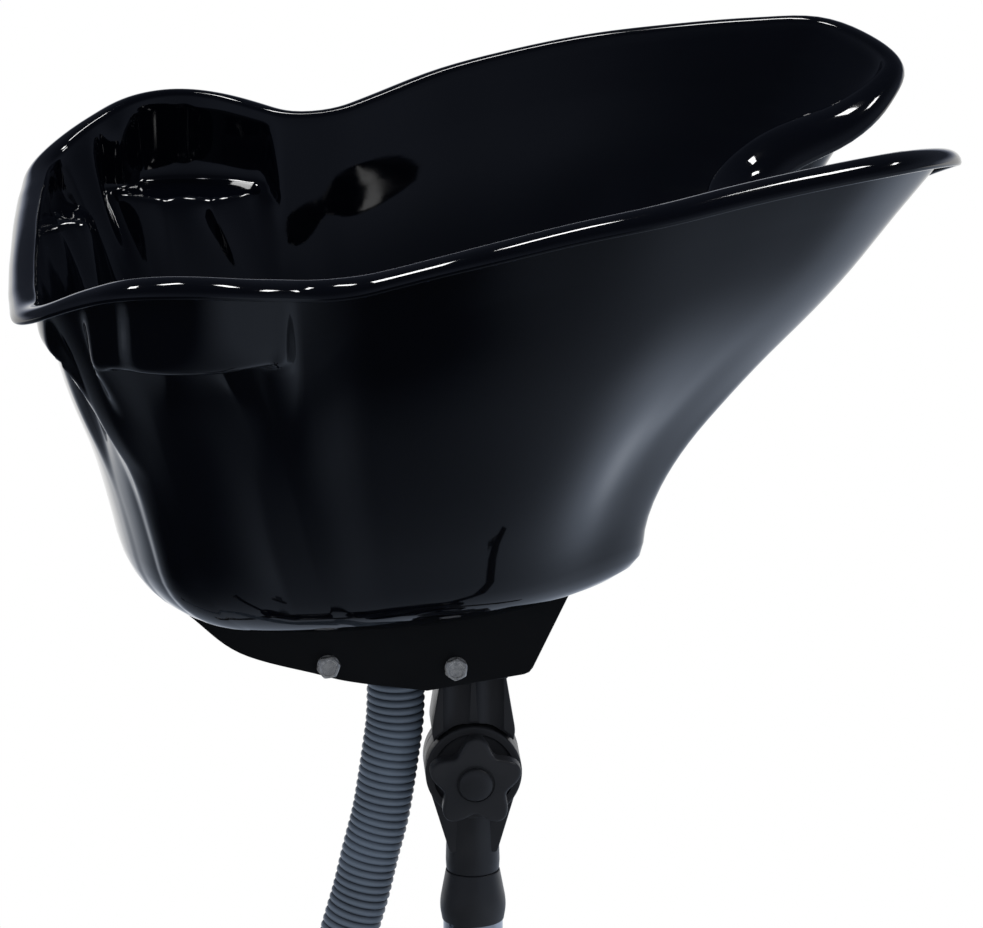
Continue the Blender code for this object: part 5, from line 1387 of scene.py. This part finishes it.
@dataclass
class DrainFittings:
    """What passes through the bowl's floor: waste body, grid, gasket, locknut and the hose's clamp."""

    x: float = -0.0535
    body: Profile = (
        (0.0190, 0.6863), (0.0190, 0.6870), (0.0196, 0.6878), (0.0320, 0.6878), (0.0340, 0.6867),
        (0.0340, 0.6858), (0.0217, 0.6858), (0.0217, 0.6672), (0.01372, 0.6672), (0.01372, 0.6370),
        (0.01202, 0.6370), (0.01202, 0.6800), (0.0190, 0.6840))
    grid: Profile = ((0.0, 0.6866), (0.0187, 0.6866), (0.0187, 0.6878), (0.0150, 0.6881), (0.0, 0.6881))
    nut: Profile = ((0.0220, 0.6714), (0.0320, 0.6714), (0.0320, 0.6794), (0.0220, 0.6794))
    band: Profile = ((0.0172, 0.6564), (0.0182, 0.6564), (0.0182, 0.6664), (0.0172, 0.6664))
    worm: Profile = ((0.0, -0.0096), (0.0034, -0.0096), (0.0038, -0.0088), (0.0038, 0.0070), (0.0, 0.0070))
    grid_hole: float = 0.0032
    grid_ring: float = 0.0114

    def strainer(self) -> Mesh:
        """The strainer grid: a low disc with a hole in its middle and six round it.

        Returns:
            The grid.
        """
        turns = [k * math.pi / 3.0 for k in range(6)]
        spots = [(0.0, 0.0)] + [(self.grid_ring * math.cos(a), self.grid_ring * math.sin(a)) for a in turns]
        holes = [placed(cylinder(self.grid_hole, 0.68, 0.70, 28), shift(dx, dy, 0.0)) for dx, dy in spots]
        return carved(soft_turned(self.grid, 0.0003, 72), holes)

    def locknut(self) -> Mesh:
        """The locknut: a ring with twelve grip slots.

        Returns:
            The nut.
        """
        slots = [placed(block((-0.0016, -0.003, -0.0015), (0.0016, 0.003, 0.0011), 0.0005, 0.0002),
                        shift(0.0, 0.0325, 0.676), spin(a)) for a in np.arange(12) * math.tau / 12.0]
        return carved(soft_turned(self.nut, 0.0010, 96), slots)

    def clamp(self) -> Mesh:
        """The worm-drive clamp: a band, the screw's housing and the worm screw across it.

        Returns:
            The clamp.
        """
        box = block((-0.007, -0.0252, 0.6574), (0.007, -0.0177, 0.6654), 0.0012, 0.0007)
        worm = placed(soft_turned(self.worm, 0.0003, 24), spin(math.pi / 2.0, "Y"),
                      shift(0.0, -0.0214, 0.6614))
        return carved(soft_turned(self.band, 0.0004, 96), [box, worm], "UNION")

    def make(self) -> None:
        """Adds the fittings; the gasket keeps its CAD mesh with a rubber finish."""
        waste = turned(rounded(self.body, 0.0004, 3), 96)
        for name, mesh, finish, node, sharp in (
                ("drain_waste_body", waste, CHROME, "drain_body", 40.0),
                ("drain_grid", self.strainer(), CHROME, "strainer_grid", 32.0),
                ("drain_nut", self.locknut(), SLATE, "drain_locknut", 34.0),
                ("drain_hose_clamp", self.clamp(), ZINC, "hose_clamp", 34.0)):
            piece(name, placed(mesh, shift(self.x, 0.0, 0.0)), finish, "bowl", (node,), sharp)


# ---------------------------------------------------------------- star knob

@dataclass
class StarKnob:
    """A five-lobed clamping knob, its cap and, where it has one, its stem."""

    tip: float = 0.0298
    waist: float = 0.0206
    lobes: int = 5
    edge: float = 0.0022
    hub: float = 0.0140
    cap_radius: float = 0.0105

    def body(self, base: float, low: float, high: float, turn: float) -> Mesh:
        """The knob along Z: the star's radius is the waist plus a raised cosine of five times the
        angle; each edge ring is drawn in along the true plan normals; a hub stands under it.

        Args:
            base: where the hub starts.
            low: the star's lower face.
            high: its upper face.
            turn: the star's turn, in radians.

        Returns:
            The mesh.
        """
        angle = np.arange(180) * math.tau / 180.0
        swing = 0.5 + 0.5 * np.cos(self.lobes * (angle - turn))
        radius = self.waist + (self.tip - self.waist) * swing
        outline = np.column_stack([radius * np.cos(angle), radius * np.sin(angle)])
        star = plate(outline, low, high, self.edge, 7)
        dish = turned([(0.0, high - 0.0008), (0.0118, high - 0.0008), (0.0130, high + OVERRUN),
                       (0.0, high + OVERRUN)], 72)
        hub = soft_turned([(0.0, base), (self.hub - 0.0010, base), (self.hub, base + 0.0012),
                           (self.hub, low + 0.001), (0.0, low + 0.001)], 0.0006, 72)
        return carved(carved(star, [dish]), [hub], "UNION")

    def cap(self, low: float, high: float) -> Mesh:
        """The domed cap along Z: an ellipse's quarter over a short upright side.

        Args:
            low: the cap's lower face.
            high: the dome's top.

        Returns:
            The cap.
        """
        turn, radius = np.linspace(0.0, math.pi / 2.0, 14), self.cap_radius
        side = low + 0.40 * (high - low)
        dome = np.column_stack([radius * np.cos(turn) ** 0.7, side + (high - side) * np.sin(turn)])
        dome[-1, 0] = 0.0
        return turned(np.vstack([[(0.0, low), (radius - 0.0005, low), (radius, low + 0.0005)], dome]), 64)

    def make(self, name: str, place: tuple[float, float, float], parts: Sequence[float], turn: float,
             stem: Optional[tuple[float, float]] = None) -> None:
        """Adds a knob and its cap toward -Y, on the knob's own body.

        Args:
            name: the CAD node's name.
            place: the axis point at Y zero.
            parts: hub, star low, star high, cap low and cap high, out along -Y.
            turn: the star's turn, in degrees.
            stem: radius and start of a stem, if it has one.
        """
        base, low, high, cap_low, cap_high = parts
        mesh = self.body(base, low, high, math.radians(turn))
        if stem is not None:
            radius, start = stem
            rod = soft_turned([(0.0, start), (radius, start), (radius, base + 0.001), (0.0, base + 0.001)],
                              0.0004, 32)
            mesh = carved(mesh, [rod], "UNION")
        for node, made in ((name, mesh), (f"{name}_cap", self.cap(cap_low, cap_high))):
            piece(f"{node}_made", laid(made, shift(*place)), DARK_SLATE, f"{name}_body", (node,), 30.0)


# ---------------------------------------------------------------- hinge

@dataclass
class TiltHinge:
    """The hinge: an upper jaw with two scooped channels and a disc, and a lower jaw with fins and socket."""

    x: float = -0.0055
    z: float = 0.5760
    disc: float = 0.0305
    recess: float = 0.0325
    half: float = 0.0205
    wall: float = 0.0083
    hole: float = BOLT_HOLE
    screw_y: float = 0.0440
    flare: Profile = ((-0.0190, 0.0737), (-0.0268, 0.0250), (-0.0183, 0.0061), (0.0183, 0.0061),
                      (0.0268, 0.0250), (0.0190, 0.0737))
    flare_corners: tuple[float, ...] = (0.0008, 0.006, 0.001, 0.001, 0.006, 0.0008)
    fins: Profile = ((-0.0288, -0.0092), (-0.0150, -0.0560), (0.0150, -0.0560), (0.0288, -0.0092))
    socket: Profile = ((0.0, -0.0706), (0.0168, -0.0706), (0.0172, -0.0640), (0.0158, -0.0200),
                       (0.0, -0.0140))
    plug: Profile = ((0.0, -0.1306), (0.0150, -0.1306), (0.0158, -0.1290), (0.0158, -0.0700), (0.0, -0.0700))

    def dish(self, side: float) -> Mesh:
        """The cutter for the shallow ring-shaped dish in one of the lower jaw's outer faces."""
        ring = soft_turned([(0.0150, -0.0030), (0.0245, -0.0030), (0.0278, OVERRUN), (0.0143, OVERRUN)],
                           0.0012, 96)
        return placed(ring, facing(side), shift(0.0, side * self.half, 0.0))

    def scoops(self, side: float) -> list[Mesh]:
        """The upper jaw's cutters on one side: the lower disc's room and two leaning channels.

        Args:
            side: -1 for the near side, 1 for the far side.

        Returns:
            The cutters.
        """
        reach = self.recess + 0.0024
        room = turned([(0.0, 0.0), (self.recess, 0.0), (self.recess, 0.0105), (reach, 0.0128), (reach, 0.03),
                       (0.0, 0.03)], 128)
        cutters = [placed(room, facing(side), shift(0.0, side * 0.0081, 0.0))]
        for way in (-1.0, 1.0):
            low = Vector((way * 0.0112, side * 0.0270, 0.020))
            line = Vector((way * 0.0098, side * 0.0245, 0.080)) - low
            cutters.append(placed(cylinder(0.0102, -0.004, line.length, 56), leaned(line), shift(*low)))
        return cutters

    def upper(self) -> Mesh:
        """The upper jaw about the tilt axis: a flange, a disc, and a flared body with two channels a side.

        Returns:
            The jaw.
        """
        body = laid(plate(rounded(self.flare, self.flare_corners, 6), -self.half, self.half, 0.0010))
        body = carved(body, self.scoops(-1.0) + self.scoops(1.0))
        flange = block((-0.0200, -0.0520, 0.0722), (0.0200, 0.0520, 0.0752), 0.003, 0.0006)
        disc = laid(soft_turned(section(0.0, self.disc, -0.0080, 0.0080), 0.0012, 128))
        holes = [placed(cylinder(0.0029, 0.06, 0.09, 32), shift(0.0, y, 0.0))
                 for y in (-self.screw_y, self.screw_y)]
        bore = laid(cylinder(self.hole, -0.05, 0.05, 40))
        return carved(carved(body, [flange, disc], "UNION"), [bore] + holes)

    def lower(self) -> Mesh:
        """The lower jaw about the tilt axis: two discs, tapering fins down to a round socket.

        Returns:
            The jaw.
        """
        disc = laid(soft_turned(section(0.0, self.disc, -self.half, self.half), 0.0016, 128))
        fins = laid(plate(rounded(self.fins, 0.0015, 4), -0.0125, 0.0125, 0.0010))
        socket, plug = soft_turned(self.socket, 0.0010, 96), soft_turned(self.plug, 0.0004, 64)
        whole = carved(disc, [fins, socket, plug], "UNION")
        slot = laid(cylinder(self.recess, -self.wall, self.wall, 128))
        rise = block((-0.035, -self.wall, -0.002), (0.035, self.wall, 0.04), 0.0004, 0.0002)
        bore = laid(cylinder(self.hole, -0.05, 0.05, 40))
        return carved(carved(whole, [slot, rise, bore]), [self.dish(-1.0), self.dish(1.0)])

    def screw(self) -> Mesh:
        """A domed screw up into the jaw's flange, with a hexagon socket, at its real height.

        Returns:
            The screw.
        """
        turn = np.linspace(0.0, math.pi / 2.0, 10)
        dome = np.column_stack([0.0048 * np.cos(turn), 0.6474 - 0.0022 * np.sin(turn)])
        dome[-1, 0] = 0.0
        stem = [(0.0, 0.6542), (0.0023, 0.6542), (0.0025, 0.6538), (0.0025, 0.6482), (0.0048, 0.6482)]
        socket = placed(cylinder(0.0015, -0.001, 0.0012, 6), shift(0.0, 0.0, 0.6452))
        return carved(turned(np.vstack([dome, stem])[::-1], 40), [socket])

    def make(self) -> None:
        """Adds both jaws and the two domed screws."""
        at = shift(self.x, 0.0, self.z)
        upper, lower = placed(self.upper(), at), placed(self.lower(), at)
        piece("hinge_upper_jaw_made", upper, DARK_SLATE, "bowl", ("hinge_top_jaw",), 30.0)
        piece("hinge_lower_jaw_made", lower, DARK_SLATE, "lift", ("hinge_lower_jaw",), 30.0)
        for name, side in (("near", -1.0), ("far", 1.0)):
            screw = placed(self.screw(), shift(self.x, side * self.screw_y, 0.0))
            piece(f"jaw_screw_{name}_made", screw, ZINC, "bowl", (f"jaw_screw_{name}",), 32.0)


# ---------------------------------------------------------------- post

@dataclass
class Post:
    """The telescopic post: flared collar, chromed tube, painted tube, guide bush and clamp ring."""

    x: float = -0.0055
    knob_z: float = 0.3920
    collar: Profile = (
        (0.0161, 0.5051), (0.0172, 0.5051), (0.0208, 0.4856), (0.0210, 0.4796), (0.0197, 0.4721),
        (0.0193, 0.4721), (0.0193, 0.4911), (0.0161, 0.4911))
    collar_corners: tuple[float, ...] = (0.0003, 0.0006, 0.005, 0.004, 0.0003, 0.0002, 0.0002, 0.0002)
    chromed: Profile = section(0.0161, 0.0190, 0.1050, 0.4908)
    painted: Profile = section(0.0230, 0.0250, 0.0946, 0.4150)
    bush: Profile = ((0.0193, 0.3650), (0.0227, 0.3650), (0.0227, 0.4153), (0.0250, 0.4153),
                     (0.0250, 0.4183), (0.0193, 0.4183))
    clamp: Profile = section(0.0253, 0.0320, 0.3730, 0.4110)
    boss: Profile = section(0.0, 0.0110, 0.0262, 0.0420)

    def stem_hole(self, radius: float, low: float = 0.0) -> Mesh:
        """A cutter for the height knob's stem."""
        return laid(cylinder(radius, low, 0.06, 32), shift(0.0, 0.0, self.knob_z))

    def make(self) -> None:
        """Adds the pieces; the glide inside keeps its CAD mesh."""
        collar = turned(rounded(self.collar, self.collar_corners, 6), 96)
        tube = carved(soft_turned(self.painted, 0.0005, 96), [self.stem_hole(0.0048)])
        bush = carved(soft_turned(self.bush, 0.0006, 96), [self.stem_hole(BOLT_HOLE)])
        boss = laid(soft_turned(self.boss, 0.0010, 56), shift(0.0, 0.0, self.knob_z))
        clamp = carved(soft_turned(self.clamp, 0.0018, 96), [boss], "UNION")
        for name, mesh, finish, body in (
                ("post_collar", collar, DARK_SLATE, "lift"),
                ("inner_post", soft_turned(self.chromed, 0.0005, 96), CHROME, "lift"),
                ("outer_post", tube, SATIN_BLACK, "base"), ("guide_bush", bush, SLATE, "base"),
                ("clamp_collar", carved(clamp, [self.stem_hole(BOLT_HOLE, 0.02)]), SATIN_BLACK, "base")):
            piece(f"{name}_made", placed(mesh, shift(self.x, 0.0, 0.0)), finish, body, (name,), 34.0)


# ---------------------------------------------------------------- base and casters

@dataclass
class Base:
    """The plate with its sleeve and hub block, and four square-tube legs with caps and bolts."""

    x: float = -0.0055
    leg_start: float = 0.0223
    leg_end: float = 0.3050
    leg_half: float = 0.0150
    leg_low: float = 0.0640
    leg_high: float = 0.0890
    wall: float = 0.0015
    caster_place: float = 0.2820
    bolt_place: float = 0.0520
    plate_top: float = 0.0943
    sleeve: Profile = ((0.0253, 0.0893), (0.0720, 0.0893), (0.0720, 0.0943), (0.0330, 0.0943),
                       (0.0300, 0.0973), (0.0300, 0.1293), (0.0253, 0.1293))

    def hub(self) -> Mesh:
        """The plate with its sleeve, its floor and the block under it, bored for the legs' bolts.

        Returns:
            The hub.
        """
        floor = soft_turned(section(0.0, 0.0256, 0.0893, self.plate_top), 0.0002, 96)
        core = placed(block((-0.022, -0.022, 0.064), (0.022, 0.022, 0.0918), 0.002, 0.0006),
                      spin(math.pi / 4.0))
        holes = [placed(cylinder(BOLT_HOLE, 0.08, 0.10, 28), shift(self.bolt_place, 0.0, 0.0),
                        spin(math.radians(45.0 + 90.0 * k))) for k in range(4)]
        return carved(carved(soft_turned(self.sleeve, 0.0012, 128), [floor, core], "UNION"), holes)

    def make(self) -> None:
        """Adds the hub and the legs."""
        at = shift(self.x, 0.0, 0.0)
        piece("base_hub_made", placed(self.hub(), at), SATIN_BLACK, "base", ("base_hub",), 34.0)
        for k in range(4):
            turn = spin(math.radians(45.0 + 90.0 * k))
            seat = shift(self.bolt_place, 0.0, self.plate_top + SEAT_GAP)
            bolt = placed(HexBolt(length=0.018).mesh(), seat)
            for name, mesh, finish, sharp in (("leg", self.leg(), SATIN_BLACK, 34.0),
                                              ("leg_cap", self.end_cap(), SLATE, 34.0),
                                              ("leg_bolt", bolt, ZINC, 30.0)):
                node = f"{name}_{k + 1}"
                piece(f"{node}_made", placed(mesh, turn, at), finish, "base", (node,), sharp)

    def leg(self) -> Mesh:
        """One leg along +X: a square tube with rounded corners, bored for its bolt and its caster.

        Returns:
            The leg.
        """
        start, end, wall = self.leg_start, self.leg_end, self.wall
        outer = self.bar(start, end, 0.0, 0.0025, 0.0003)
        inner = self.bar(start - OVERRUN, end + OVERRUN, wall, 0.0012, 0.0001)
        bolt = placed(cylinder(BOLT_HOLE, 0.05, 0.10, 32), shift(self.bolt_place, 0.0, 0.0))
        stem = placed(cylinder(0.0053, 0.05, 0.086, 32), shift(self.caster_place, 0.0, 0.0))
        return carved(outer, [inner, bolt, stem])

    def bar(self, start: float, end: float, inset: float, corner: float, edge: float) -> Mesh:
        """A square bar along +X with rounded corners.

        Args:
            start: where it starts.
            end: where it ends.
            inset: how far its sides lie inside the leg's outer faces.
            corner: its corners' radius.
            edge: its end edges' radius.

        Returns:
            The bar.
        """
        half, low, high = self.leg_half - inset, self.leg_low + inset, self.leg_high - inset
        outline = rounded([(-half, low), (half, low), (half, high), (-half, high)], corner, 6)
        order = Matrix(((0.0, 0.0, 1.0, 0.0), (1.0, 0.0, 0.0, 0.0), (0.0, 1.0, 0.0, 0.0),
                        (0.0, 0.0, 0.0, 1.0)))
        return placed(plate(outline, start, end, edge), order)

    def end_cap(self) -> Mesh:
        """The leg's end cap: a domed plate with a plug inside the tube.

        Returns:
            The cap.
        """
        face = self.bar(self.leg_end + SEAT_GAP, self.leg_end + 0.0033, 0.0, 0.0025, 0.0012)
        plug = self.bar(self.leg_end - 0.010, self.leg_end + 0.001, self.wall + SEAT_GAP, 0.0012, 0.0003)
        return carved(face, [plug], "UNION")


@dataclass
class Caster:
    """A swivel caster: pressed fork with its stem, wheel with a tyre and hub, riveted axle."""

    base_x: float = -0.0055
    reach: float = 0.199404
    axle: tuple[float, float] = (-0.0180, 0.0250)
    cup: Profile = ((0.0, 0.0560), (0.0110, 0.0560), (0.0110, 0.0605), (0.0090, 0.0637), (0.0, 0.0637))
    tread: Profile = (
        (0.0190, -0.0060), (0.0205, -0.0086), (0.0235, -0.0095), (0.0249, -0.0075), (0.0252, 0.0),
        (0.0249, 0.0075), (0.0235, 0.0095), (0.0205, 0.0086), (0.0190, 0.0060))
    disc: Profile = (
        (0.0043, -0.0108), (0.0088, -0.0108), (0.0100, -0.0098), (0.0100, -0.0050), (0.0165, -0.0042),
        (0.0180, -0.0066), (0.0193, -0.0066), (0.0193, 0.0066), (0.0180, 0.0066), (0.0165, 0.0042),
        (0.0100, 0.0050), (0.0100, 0.0098), (0.0088, 0.0108), (0.0043, 0.0108))

    def fork(self) -> Mesh:
        """The fork about the swivel axis: a head plate, two cheeks, a swivel cup and the stem.

        Returns:
            The fork.
        """
        x, z = self.axle
        turn = np.radians(np.linspace(180.0, 372.0, 24))
        arc = np.column_stack([x + 0.0085 * np.cos(turn), z + 0.0085 * np.sin(turn)])
        outline = np.vstack([[(-0.0240, 0.0570)], arc, [(0.0150, 0.0570)]])
        cheeks = [laid(plate(outline, low, low + 0.0023, 0.0006)) for low in (-0.0135, 0.0112)]
        head = block((-0.0240, -0.0135, 0.0540), (0.0150, 0.0135, 0.0580), 0.003, 0.0008)
        stem = soft_turned(section(0.0, 0.0050, 0.0600, 0.0840), 0.0006, 32)
        whole = carved(head, cheeks + [soft_turned(self.cup, 0.0010, 64), stem], "UNION")
        return carved(whole, [laid(cylinder(BOLT_HOLE, -0.03, 0.03, 32), shift(x, 0.0, z))])

    def wheel(self) -> tuple[Mesh, Mesh]:
        """The tyre, a crowned tread, and the hub, a dished disc with a boss, along Y."""
        return (laid(turned(rounded(self.tread, 0.0014, 5), 96)),
                laid(turned(rounded(self.disc, 0.0006, 4), 80)))

    def rivet(self) -> Mesh:
        """The axle along Y: a plain pin with a domed head on each end.

        Returns:
            The axle.
        """
        turn = np.linspace(0.0, math.pi / 2.0, 8)
        head = np.column_stack([0.0060 * np.cos(turn), 0.0143 + 0.0015 * np.sin(turn)])
        head[-1, 0] = 0.0
        half = np.vstack([[(0.0040, 0.0138), (0.0060, 0.0138)], head])
        return laid(turned(np.vstack([half, (half * (1.0, -1.0))[::-1]]), 48))

    def make(self) -> None:
        """Adds the four casters, all trailing toward -X."""
        tyre, hub = self.wheel()
        place = shift(self.axle[0], 0.0, self.axle[1])
        parts = (("caster_fork_{}_made", self.fork(), ZINC, "swivel_{}", "caster_fork_{}", 32.0),
                 ("caster_tyre_{}", placed(tyre, place), TYRE, "wheel_{}", "caster_wheel_{}", 40.0),
                 ("caster_hub_{}", placed(hub, place), NYLON, "wheel_{}", "caster_wheel_{}", 34.0),
                 ("caster_rivet_{}", placed(self.rivet(), place), ZINC, "swivel_{}", "caster_axle_{}", 34.0))
        for k, (sx, sy) in enumerate(((1.0, 1.0), (-1.0, 1.0), (-1.0, -1.0), (1.0, -1.0)), 1):
            at = shift(self.base_x + sx * self.reach, sy * self.reach, 0.0)
            for name, mesh, finish, body, node, sharp in parts:
                piece(name.format(k), copied(mesh, at), finish, body.format(k), (node.format(k),), sharp)


# ---------------------------------------------------------------- the whole

def redress(name: str, finish: Finish) -> None:
    """Gives a CAD node that stays in view its finish.

    Args:
        name: the node's name.
        finish: its material.
    """
    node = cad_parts[name]
    made = finish.material()
    for holder in node.material_slots:
        holder.material = made
    if not node.material_slots:
        node.data.materials.append(made)
    LOG.info("%s keeps its CAD mesh in %s", name, finish.name)


def main() -> None:
    """Builds the whole in order: camera, hose, bowl, cradle, drain, hinge, knobs, post, base, studio."""
    logging.basicConfig(level=logging.INFO, format="%(name)s: %(message)s")
    Viewpoint().make()
    DrainHose().make()
    bowl = Bowl()
    bowl.make()
    cradle = Cradle(bowl)
    cradle.make()
    HexBolt().make(cradle)
    DrainFittings().make()
    TiltHinge().make()
    knob = StarKnob()
    knob.make("tilt_knob", (-0.0055, 0.0, 0.5760), (0.0228, 0.0288, 0.0418, 0.0421, 0.0466), 89.0)
    knob.make("height_knob", (-0.0055, 0.0, 0.3920), (0.0423, 0.0483, 0.0613, 0.0616, 0.0661), 90.0,
              (0.0040, 0.0193))
    Post().make()
    Base().make()
    Caster().make()
    kept = {"post_glide": SLATE, "drain_gasket": RUBBER, "tilt_washer": ZINC, "tilt_bolt": ZINC}
    for name, finish in kept.items():
        redress(name, finish)
    Studio().make()


if __name__ == "__main__":
    main()
